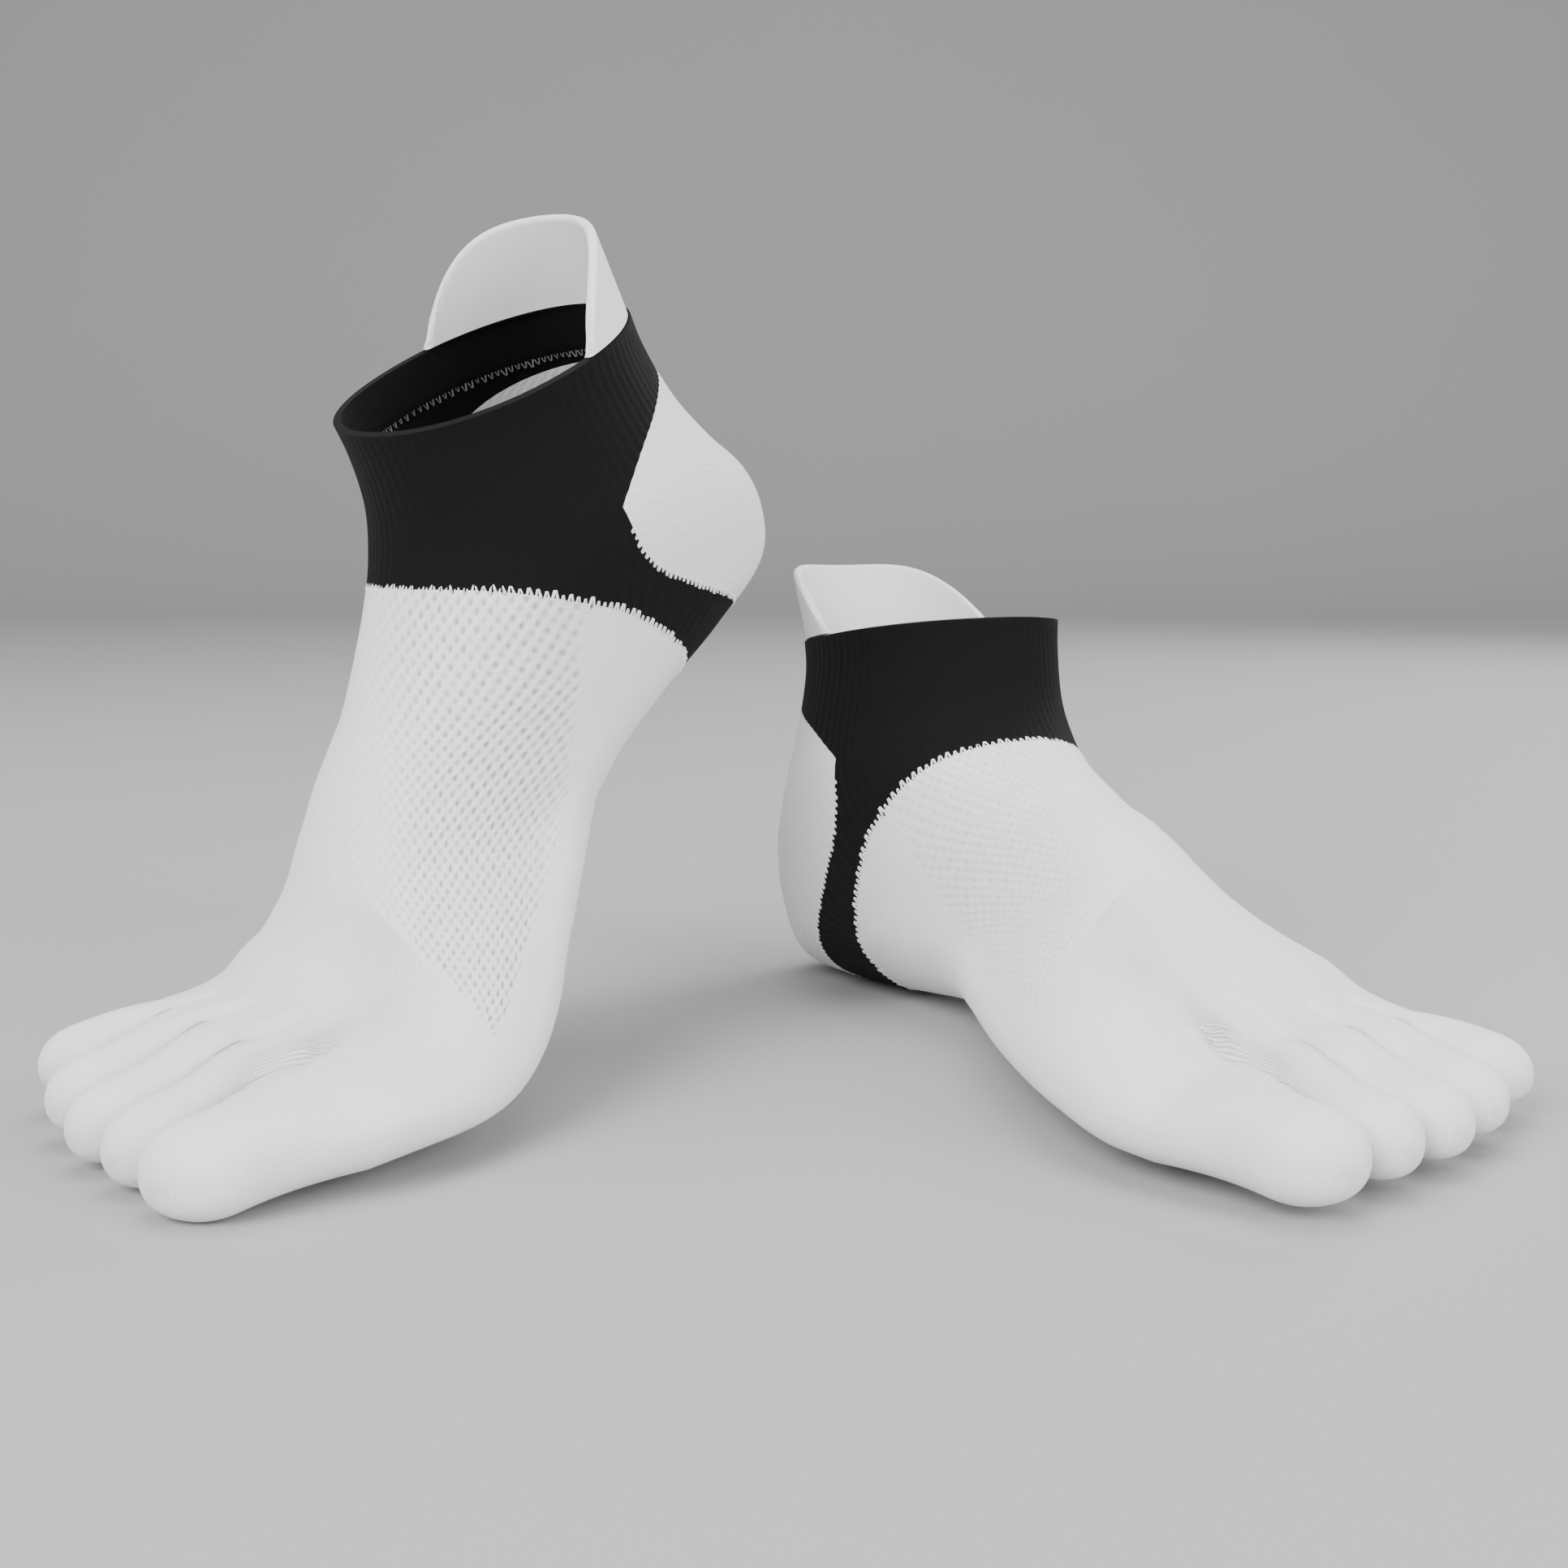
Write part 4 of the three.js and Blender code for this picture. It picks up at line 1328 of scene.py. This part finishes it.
@dataclass
class Foot(KnitPiece):
    """The white foot with its five toes, open where the net panel lies."""

    panel: NetPanel
    fineness: int = 5
    spacing: float = 1.5
    wall: float = 1.1
    # Spots where shade is painted into the wale furrows: s, m, length, width and strength; the strongest lie
    # in the grooves beside the great toe.
    furrow_shade_spots: tuple[tuple[float, ...], ...] = (
        (176, 22, 24, 12, 0.5), (198, 26, 16, 9, 0.55), (218, 22, 14, 5, 1.0), (236, 19, 14, 4, 1.0),
        (224, 3, 14, 4, 0.45), (222, -15, 14, 4, 0.3), (218, -33, 12, 4, 0.25), (120, -26, 28, 10, 0.25),
    )
    plain: float = 0.08
    upper_heights: tuple[float, float] = (4, 16)

    def furrow_shade_strength(self, points: np.ndarray) -> np.ndarray:
        """How strongly shade is painted into the wale furrows: most on the ball and in the grooves of the
        toes.
        """
        tone = np.zeros(len(points))
        for s, m, length, width, strength in self.furrow_shade_spots:
            away = ((points[:, 0] - s) / length) ** 2 + ((points[:, 1] - m) / width) ** 2
            tone = np.maximum(tone, strength * np.exp(-away))
        upper = smoothstep(points[:, 2], *self.upper_heights)
        return self.plain + (1 - self.plain) * tone * upper

    def build(self) -> bpy.types.Object:
        """Builds the foot and ties it to its node."""
        skin = Skin(0, FORM.last, self.spacing, FORM.rings(self.fineness), closed=True)
        cloth = Toes(skin, self.fineness).joined(skin.cloth(from_toes=True)).with_normals()
        place, ring = cloth.marks["place"], cloth.marks["ring"]
        value = np.minimum(foot_field(cloth.points), -self.panel.region(place, ring))
        cloth = cloth.cut(np.where(place >= FORM.last, 1.0, value))
        # The foot's furrows get painted shade, strongest in the toe grooves.
        cloth.marks["tone_rib"] = self.furrow_shade_strength(cloth.points)
        creased = self.creased(cloth)
        foot = cloth.walled(creased, creased - self.wall)
        cut = Cut(0.18, 0.2, 0.9)
        return self.finished("foot_cloth", foot, self.finishes.foot, "foot", "foot_knit", cut)


@dataclass
class AnkleBand(KnitPiece):
    """The black rib band: a doubled cuff with a rounded rim, and the strap that runs under the heel."""

    rim: float = 0.9
    last_place: float = 11.0
    columns_per_step: int = 10
    spacing: float = 1.5
    ribs_per_step: float = 2.5
    rib_height: float = 0.1
    rib_start: float = 2.5
    welt_depth: float = 12.5
    welt_edge: float = 0.8
    welt_wall: float = 1.9
    wall: float = 1.2

    def build(self) -> bpy.types.Object:
        """Builds the band and ties it to its node."""
        cuff_drop = SECTION_ROWS["collar"][1] - SECTION_ROWS["cuff"][1]
        start = self.rim / cuff_drop
        skin = Skin(start, self.last_place, self.spacing, FORM.rings(self.columns_per_step), closed=True)
        cloth = skin.cloth(from_toes=False).with_normals()
        cloth = cloth.cut(-foot_field(cloth.points))
        cloth = cloth.cut(-heel_field(cloth.points))
        ring, along = cloth.marks["ring"], cloth.marks["along"]
        ribs = self.rib_height * np.cos(math.tau * self.ribs_per_step * ring)
        level = smoothstep(along, 0.0, self.rib_start)
        welt = 1 - smoothstep(along, self.welt_depth - self.welt_edge, self.welt_depth)
        thick = self.wall + (self.welt_wall - self.wall) * welt
        creased = self.creased(cloth)
        band = cloth.walled(creased + (ribs - self.rib_height) * level, creased - thick)
        cut = Cut(0.17, 0.085, 0.64)
        return self.finished("ankle_rib", band, self.finishes.rib, "ankle_band", "ankle_rib", cut)


@dataclass
class HeelPocket(KnitPiece):
    """The white heel pocket with its slanting ribs."""

    reach: tuple[float, float] = (0.5, 9.5)
    columns_per_step: int = 6
    spacing: float = 1.4
    wall: float = 1.2
    swell: float = 0.15
    swell_width: float = 3.0

    def build(self) -> bpy.types.Object:
        """Builds the pocket and ties it to its node."""
        skin = Skin(*self.reach, self.spacing, FORM.rings(self.columns_per_step), closed=True)
        cloth = skin.cloth(from_toes=False).with_normals()
        cloth.marks["edge"] = heel_field(cloth.points)
        cloth = cloth.cut(cloth.marks["edge"])
        swell = self.swell * smoothstep(cloth.marks["edge"], 0, self.swell_width)
        creased = self.creased(cloth)
        pocket = cloth.walled(creased + swell, creased - self.wall)
        cut = Cut(0.13, 0.11, 0.7)
        return self.finished("heel_cloth", pocket, self.finishes.heel, "heel_pocket", "heel_knit", cut)


@dataclass
class PullTab(KnitPiece):
    """The padded white tab that stands up from the collar round the back of the opening."""

    inner: float = 88.0
    outer: float = 73.0
    narrowing: float = 19.0
    taper: float = 0.7
    wall: float = 2.4
    base: float = -0.5
    shoulder: float = 1.2
    corner: float = 4.0
    corner_round: float = 0.45
    columns: int = 110
    rows: int = 34
    crowding: float = 0.35
    row_power: float = 0.8
    knit_size: tuple[float, float] = (40, 22)
    seat: float = 0.2
    thinnest: float = 0.02

    def point(self, across: np.ndarray, up: np.ndarray, inset: np.ndarray) -> np.ndarray:
        """Points of the tab.

        Args:
            across: From -1 at the outer edge to 1 at the inner edge.
            up: From 0 at the collar to 1 on top.
            inset: How far in from the outer face, in millimetres.

        Returns:
            s, m and h rows.
        """
        collar = dict(zip(SECTION_COLUMNS, SECTION_ROWS["collar"]))
        top = (1 - np.minimum(np.abs(across), 1) ** self.corner) ** self.corner_round
        rise = self.base + (self.shoulder + (TAB_RISE - self.shoulder) * top) * up
        widest = np.where(across > 0, self.inner, self.outer)
        spread = widest - self.narrowing * (np.maximum(rise, 0) / TAB_RISE) ** self.taper
        angle = np.radians(180 - across * spread)
        depth = (collar["front_s"] - collar["back_s"]) / 2 - inset
        reach = np.where(np.sin(angle) > 0, collar["inner"], collar["outer"]) - inset
        middle = (collar["front_s"] + collar["back_s"]) / 2
        s, m, h = middle + depth * np.cos(angle), reach * np.sin(angle), collar["front_h"] + rise
        return np.stack([s, m, h], axis=-1)

    def build(self) -> bpy.types.Object:
        """Builds the tab and ties it to its node."""
        across = np.sin(np.linspace(-math.pi / 2, math.pi / 2, self.columns + 1))
        even = np.linspace(-1, 1, self.columns + 1)
        across = self.crowding * across + (1 - self.crowding) * even
        up = np.linspace(0, 1, self.rows + 1) ** self.row_power
        a, b = (grid.ravel() for grid in np.meshgrid(across, up))
        index = np.arange(len(a)).reshape(self.rows + 1, self.columns + 1)
        middle = self.point(a, b, np.full_like(a, self.wall / 2))
        wale, along = (
            grid.reshape(index.shape)[::-1] * size for grid, size in zip((a, b), self.knit_size)
        )
        faces, knit = grid_faces(index[::-1], wale, along)
        sheet = Cloth(middle, faces, knit).with_normals()
        edges, _ = sheet.open_edges()
        border = sheet.points[np.unique(edges[:, 0])]
        free = border[border[:, 2] > SECTION_ROWS["collar"][1] + self.base + self.seat]
        nearest = np.array([np.linalg.norm(free - point, axis=1).min() for point in sheet.points])
        half = self.wall / 2
        inset = np.clip(1 - nearest / half, 0, 1)
        thick = half * np.sqrt(np.maximum(1 - inset**2, self.thinnest))
        tab = sheet.walled(thick, -thick)
        cut = Cut(0.1, 0.024, 0.9)
        return self.finished("tab_cloth", tab, self.finishes.tab, "pull_tab", "tab_knit", cut)


class StitchTree(NodeTree):
    """A Geometry Nodes tree that sets a bent loop of yarn on every point that it is given."""

    loop_parts: int = 2
    yarn_sides: int = 6
    seed: int = 7

    def __init__(self) -> None:
        """Builds the tree, with the loop's sizes and its material as named inputs."""
        super().__init__(bpy.data.node_groups.new("yarn_loops", "GeometryNodeTree"))
        face = self.tree.interface
        face.new_socket("Points", in_out="INPUT", socket_type="NodeSocketGeometry")
        self.inputs = {}
        kinds = dict.fromkeys(("Width", "Length", "Yarn", "Lift", "Unevenness"), "NodeSocketFloat")
        kinds["Finish"] = "NodeSocketMaterial"
        for name, kind in kinds.items():
            self.inputs[name] = face.new_socket(name, in_out="INPUT", socket_type=kind).identifier
        face.new_socket("Loops", in_out="OUTPUT", socket_type="NodeSocketGeometry")
        self.source = self.tree.nodes.new("NodeGroupInput")
        self.build()

    def number(self, operation: str, first: object, second: object) -> bpy.types.NodeSocket:
        """A Math node's result."""
        return self.node("ShaderNodeMath", {"operation": operation}, {0: first, 1: second}).outputs[0]

    def vector(self, x: object, y: object, z: object) -> bpy.types.NodeSocket:
        """A vector from three numbers."""
        return self.node("ShaderNodeCombineXYZ", inputs={0: x, 1: y, 2: z}).outputs[0]

    def build(self) -> None:
        """Builds one loop of yarn, sets it on the points and turns it to lie along the cloth."""
        given = self.source.outputs
        half = self.number("MULTIPLY", given["Width"], 0.5)
        start = self.vector(self.number("MULTIPLY", half, -1.0), 0.0, 0.0)
        middle = self.vector(0.0, self.number("MULTIPLY", given["Length"], 2.0), given["Lift"])
        end = self.vector(half, 0.0, 0.0)
        ends = {"Start": start, "Middle": middle, "End": end, "Resolution": self.loop_parts}
        path = self.node("GeometryNodeCurveQuadraticBezier", inputs=ends)
        yarn = {"Resolution": self.yarn_sides, "Radius": given["Yarn"]}
        round_yarn = self.node("GeometryNodeCurvePrimitiveCircle", inputs=yarn)
        loop = self.node(
            "GeometryNodeCurveToMesh",
            inputs={"Curve": path.outputs[0], "Profile Curve": round_yarn.outputs[0], "Fill Caps": True},
        )
        turned = {}
        for name, axis, pivot in (("cloth_normal", "Z", "AUTO"), ("cloth_wale", "Y", "Z")):
            kind = {"data_type": "FLOAT_VECTOR"}
            wanted = self.node("GeometryNodeInputNamedAttribute", kind, {"Name": name})
            inputs = {"Vector": wanted.outputs[0], **turned}
            axes = {"axis": axis, "pivot_axis": pivot}
            turned["Rotation"] = self.node("FunctionNodeAlignRotationToVector", axes, inputs).outputs[0]
        limits = {
            "Min": self.number("SUBTRACT", 1.0, given["Unevenness"]),
            "Max": self.number("ADD", 1.0, given["Unevenness"]),
            "Seed": self.seed,
        }
        spread = self.node("FunctionNodeRandomValue", {"data_type": "FLOAT"}, limits)
        size = next(socket for socket in spread.outputs if socket.enabled)
        inputs = {"Points": given["Points"], "Instance": loop.outputs[0], "Scale": size, **turned}
        placed = self.node("GeometryNodeInstanceOnPoints", inputs=inputs)
        real = self.node("GeometryNodeRealizeInstances", inputs={0: placed.outputs[0]})
        smooth = self.node("GeometryNodeSetShadeSmooth", inputs={0: real.outputs[0]})
        finish = {"Geometry": smooth.outputs[0], "Material": given["Finish"]}
        finished = self.node("GeometryNodeSetMaterial", inputs=finish)
        self.node("NodeGroupOutput", inputs={0: finished.outputs[0]})


@dataclass
class StitchRow:
    """Yarn loops along a knitted edge or a seam, at spots on the straight foot."""

    tree: StitchTree
    width: float
    length: float
    yarn: float
    lift: float
    unevenness: float
    aim_length: float = 0.5

    def object(
        self, name: str, setting: Setting, spots: list[tuple], finish: bpy.types.Material
    ) -> bpy.types.Object:
        """Sets the loops and returns them as one plain mesh.

        Args:
            name: The object's name.
            setting: The sock that they are on.
            spots: A point, an outward direction and a direction along the wale for each loop.
            finish: The yarn's finish.

        Returns:
            The loops' object.
        """
        points = np.array([spot[0] for spot in spots])
        tips = {}
        for key, column in (("cloth_normal", 1), ("cloth_wale", 2)):
            away = setting.world(points + self.aim_length * np.array([spot[column] for spot in spots]))
            tips[key] = away - setting.world(points)
        mesh = bpy.data.meshes.new(name + "_points")
        mesh.from_pydata(setting.world(points).tolist(), [], [])
        for key, direction in tips.items():
            attribute = mesh.attributes.new(key, "FLOAT_VECTOR", "POINT")
            attribute.data.foreach_set("vector", direction.astype(np.float32).ravel())
        source = bpy.data.objects.new(name, mesh)
        bpy.context.scene.collection.objects.link(source)
        modifier = source.modifiers.new("loops", "NODES")
        modifier.node_group = self.tree.tree
        sizes = {
            "Width": self.width * MM, "Length": self.length * MM, "Yarn": self.yarn * MM,
            "Lift": self.lift * MM, "Unevenness": self.unevenness, "Finish": finish,
        }
        for key, value in sizes.items():
            modifier[self.tree.inputs[key]] = value
        graph = bpy.context.evaluated_depsgraph_get()
        made = bpy.data.meshes.new_from_object(source.evaluated_get(graph))
        source.modifiers.clear()
        source.data = made
        source.data.name = name
        return source


@dataclass
class EdgeStitches:
    """The white teeth where the white knit meets the black, and the grey seam inside the cuff."""

    setting: Setting
    finishes: Finishes
    tree: StitchTree
    tooth_pitch: float = 2.0
    tooth_root: float = 0.25
    seam_stitches: int = 120
    seam_depth: float = 0.25
    sink: float = 0.12
    outer_ring: float = 15.0
    trial_places: int = 400
    trial_rings: float = 0.2
    foot_start: float = 0.0
    foot_reach: tuple[float, float] = (0.5, 11.5)
    heel_start: float = 9.0
    heel_reach: tuple[float, float] = (0.5, 9.5)

    def edge_path(self, value: Callable, first: float, reach: tuple[float, float]) -> np.ndarray:
        """An edge's places and rings, all the way round the foot.

        Args:
            value: A function of points that falls through zero from the white knit to the black.
            first: The ring step to start from.
            reach: The places between which the edge lies.

        Returns:
            Place and ring rows, in order round the foot.
        """
        places = np.linspace(*reach, self.trial_places)
        path = []
        for ring in np.arange(first, first + FORM.ring_steps + 0.01, self.trial_rings):
            values = value(FORM.skin(places, ring))
            changes = np.nonzero((values[:-1] >= 0) != (values[1:] >= 0))[0]
            if len(changes):
                at = changes[-1]
                share = values[at] / (values[at] - values[at + 1])
                path.append((places[at] + (places[at + 1] - places[at]) * share, ring))
        return np.array(path)

    def teeth(self, value: Callable, first: float, reach: tuple[float, float]) -> list[tuple]:
        """Spots for teeth, evenly spaced along an edge and pointing out over the black knit."""
        path = self.edge_path(value, first, reach)
        travel = travel_along(FORM.skin(*path.T))
        count = round(travel[-1] / self.tooth_pitch)
        at = (np.arange(count) + 0.5) * travel[-1] / count
        place, ring = (np.interp(at, travel, column) for column in path.T)
        spots = []
        for here, nearby, toward, normal in self.frames(place, ring):
            tangent = nearby - here
            tip = np.cross(normal, tangent / np.linalg.norm(tangent))
            sides = value(np.array([here + tip, here - tip]))
            if sides[0] > sides[1]:
                tip = -tip
            spots.append((here - normal * self.sink - tip * self.tooth_root, normal, tip))
        return spots

    @staticmethod
    def frames(place: np.ndarray, ring: np.ndarray) -> Iterator[tuple]:
        """Each spot's point, its neighbour along the edge, its wale and its outward direction."""
        here = FORM.skin(place, ring)
        nearby = np.vstack([here[1:], 2 * here[-1:] - here[-2:-1]])
        ahead = FORM.skin(place + 0.02, ring) - here
        beside = FORM.skin(place, ring + 0.1) - here
        normals = np.cross(beside, ahead)
        normals /= np.linalg.norm(normals, axis=1, keepdims=True)
        wales = ahead / np.linalg.norm(ahead, axis=1, keepdims=True)
        return zip(here, nearby, wales, normals)

    def build(self) -> list[bpy.types.Object]:
        """Builds the loops along all the edges of one sock."""
        side = self.setting.side.value
        foot = self.teeth(foot_field, self.foot_start, self.foot_reach)
        heel = self.teeth(heel_field, self.heel_start, self.heel_reach)
        rings = np.arange(self.seam_stitches) * FORM.ring_steps / self.seam_stitches
        inset = self.sink + AnkleBand.welt_wall - self.seam_depth
        seam = [
            (here - normal * inset, -normal, wale)
            for here, _, wale, normal in self.frames(np.full_like(rings, self.seam_place()), rings)
        ]
        rows = (
            ("foot_edge_stitches", "foot", "foot_knit", foot, (1.15, 1.7, 0.33, 0.3, 0.25)),
            ("heel_edge_stitches", "heel_pocket", "heel_knit", heel, (1.05, 1.3, 0.29, 0.25, 0.2)),
            ("cuff_seam", "ankle_band", "ankle_rib", seam, (1.1, 1.5, 0.17, 0.35, 0.3)),
        )
        made = []
        for name, node, slot, spots, sizes in rows:
            finish = self.finishes.grey_yarn if name == "cuff_seam" else self.finishes.white_yarn
            row = StitchRow(self.tree, *sizes).object(f"{side}_{name}", self.setting, spots, finish)
            dress(row, f"{side}_{node}")
            made.append(row)
        return made

    def seam_place(self) -> float:
        """The place where the cuff's inner fold ends."""
        places = np.linspace(0, 3, 300)
        travel = travel_along(FORM.skin(places, self.outer_ring))
        return float(np.interp(AnkleBand.welt_depth, travel, places))


@dataclass
class Sock:
    """One sock of the pair, with all its pieces."""

    side: Side
    finishes: Finishes
    tree: StitchTree

    def build(self) -> list[bpy.types.Object]:
        """Builds every piece of the sock."""
        setting = Setting(self.side)
        panel = NetPanel(setting, self.finishes)
        made = [
            panel.build(),
            Foot(setting, self.finishes, panel).build(),
            AnkleBand(setting, self.finishes).build(),
            HeelPocket(setting, self.finishes).build(),
            PullTab(setting, self.finishes).build(),
        ]
        return made + EdgeStitches(setting, self.finishes, self.tree).build()


@dataclass
class Studio:
    """The camera at the photograph's angle, a plain pale floor and soft lights."""

    camera_place: tuple[float, float, float] = (0.06944, -0.53627, -0.03138)
    camera_tilt: float = 7.1
    focal_length: float = 52.31
    sensor: float = 36.0
    floor_colour: float = 0.4
    floor_width: float = 6.0
    floor_front: float = 2.0
    floor_back: float = 2.2
    wall_height: float = 3.0
    bend: float = 0.9
    bend_steps: int = 16
    world_light: float = 0.55
    aim_place: tuple[float, float, float] = (0.07, 0.0, -0.08)

    def build(self) -> None:
        """Sets up everything round the object."""
        low = min(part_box(f"{side.value}_foot")[0].z for side in Side)
        self.build_floor(low)
        self.build_lights()
        self.build_camera()

    def build_floor(self, height: float) -> None:
        """A floor that curves up into a backdrop.

        Args:
            height: The floor's height, in metres.
        """
        angles = np.linspace(0, math.pi / 2, self.bend_steps + 1)
        y = np.concatenate([[-self.floor_front], self.floor_back + self.bend * np.sin(angles)])
        z = np.concatenate([[0], self.bend * (1 - np.cos(angles))])
        y = np.append(y, y[-1])
        z = np.append(z, self.wall_height)
        points = []
        for x in (-self.floor_width / 2, self.floor_width / 2):
            points += [(x, *pair) for pair in zip(y, z + height)]
        count = len(y)
        faces = [(i, i + count, i + count + 1, i + 1) for i in range(count - 1)]
        mesh = bpy.data.meshes.new("studio_floor")
        mesh.from_pydata(points, [], faces)
        mesh.shade_smooth()
        shader = Shader("studio_floor")
        colour = shader.mixed(shader.noise(3.0), grey(self.floor_colour), grey(self.floor_colour * 1.03))
        surface = shader.node("ShaderNodeBsdfPrincipled", inputs={"Base Color": colour, "Roughness": 0.8})
        shader.node("ShaderNodeOutputMaterial", inputs={"Surface": surface.outputs[0]})
        mesh.materials.append(shader.material)
        floor = bpy.data.objects.new("studio_floor", mesh)
        bpy.context.scene.collection.objects.link(floor)

    def build_lights(self) -> None:
        """A large soft light from the front left, a fill, a top light and a weak rim light."""
        world = bpy.data.worlds.new("studio")
        world.use_nodes = True
        background = world.node_tree.nodes["Background"]
        background.inputs["Color"].default_value = grey(1.0)
        background.inputs["Strength"].default_value = self.world_light
        bpy.context.scene.world = world
        lights = (
            ("key", (-0.9, -1.5, 1.0), 1.4, 60.0),
            ("fill", (1.6, -1.2, 0.5), 1.6, 40.0),
            ("top", (0.1, 0.3, 1.7), 1.5, 20.0),
            ("rim", (0.9, 1.3, 0.7), 0.8, 10.0),
        )
        for name, place, size, power in lights:
            data = bpy.data.lights.new(name, "AREA")
            data.shape = "DISK"
            data.size = size
            data.energy = power
            lamp = bpy.data.objects.new(name, data)
            lamp.location = place
            aim = np.array(self.aim_place) - np.array(place)
            lamp.rotation_euler = (
                math.acos(-aim[2] / np.linalg.norm(aim)),
                0.0,
                math.atan2(aim[1], aim[0]) - math.pi / 2,
            )
            bpy.context.scene.collection.objects.link(lamp)

    def build_camera(self) -> None:
        """The camera, from the front and a little above."""
        data = bpy.data.cameras.new("camera")
        data.sensor_width = self.sensor
        data.lens = self.focal_length
        data.clip_start = 0.01
        camera = bpy.data.objects.new("camera", data)
        camera.location = self.camera_place
        camera.rotation_euler = (math.radians(90 - self.camera_tilt), 0.0, 0.0)
        bpy.context.scene.collection.objects.link(camera)
        bpy.context.scene.camera = camera


def corners(box: tuple) -> list[list[float]]:
    """A box's two corners as plain lists."""
    return [[float(value) for value in corner] for corner in box]


def main() -> None:
    """Builds the pair and its studio."""
    logging.basicConfig(level=logging.INFO, format="%(name)s: %(message)s")
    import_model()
    finishes = Finishes()
    tree = StitchTree()
    for side in Side:
        Sock(side, finishes, tree).build()
    Studio().build()


if __name__ == "__main__":
    main()
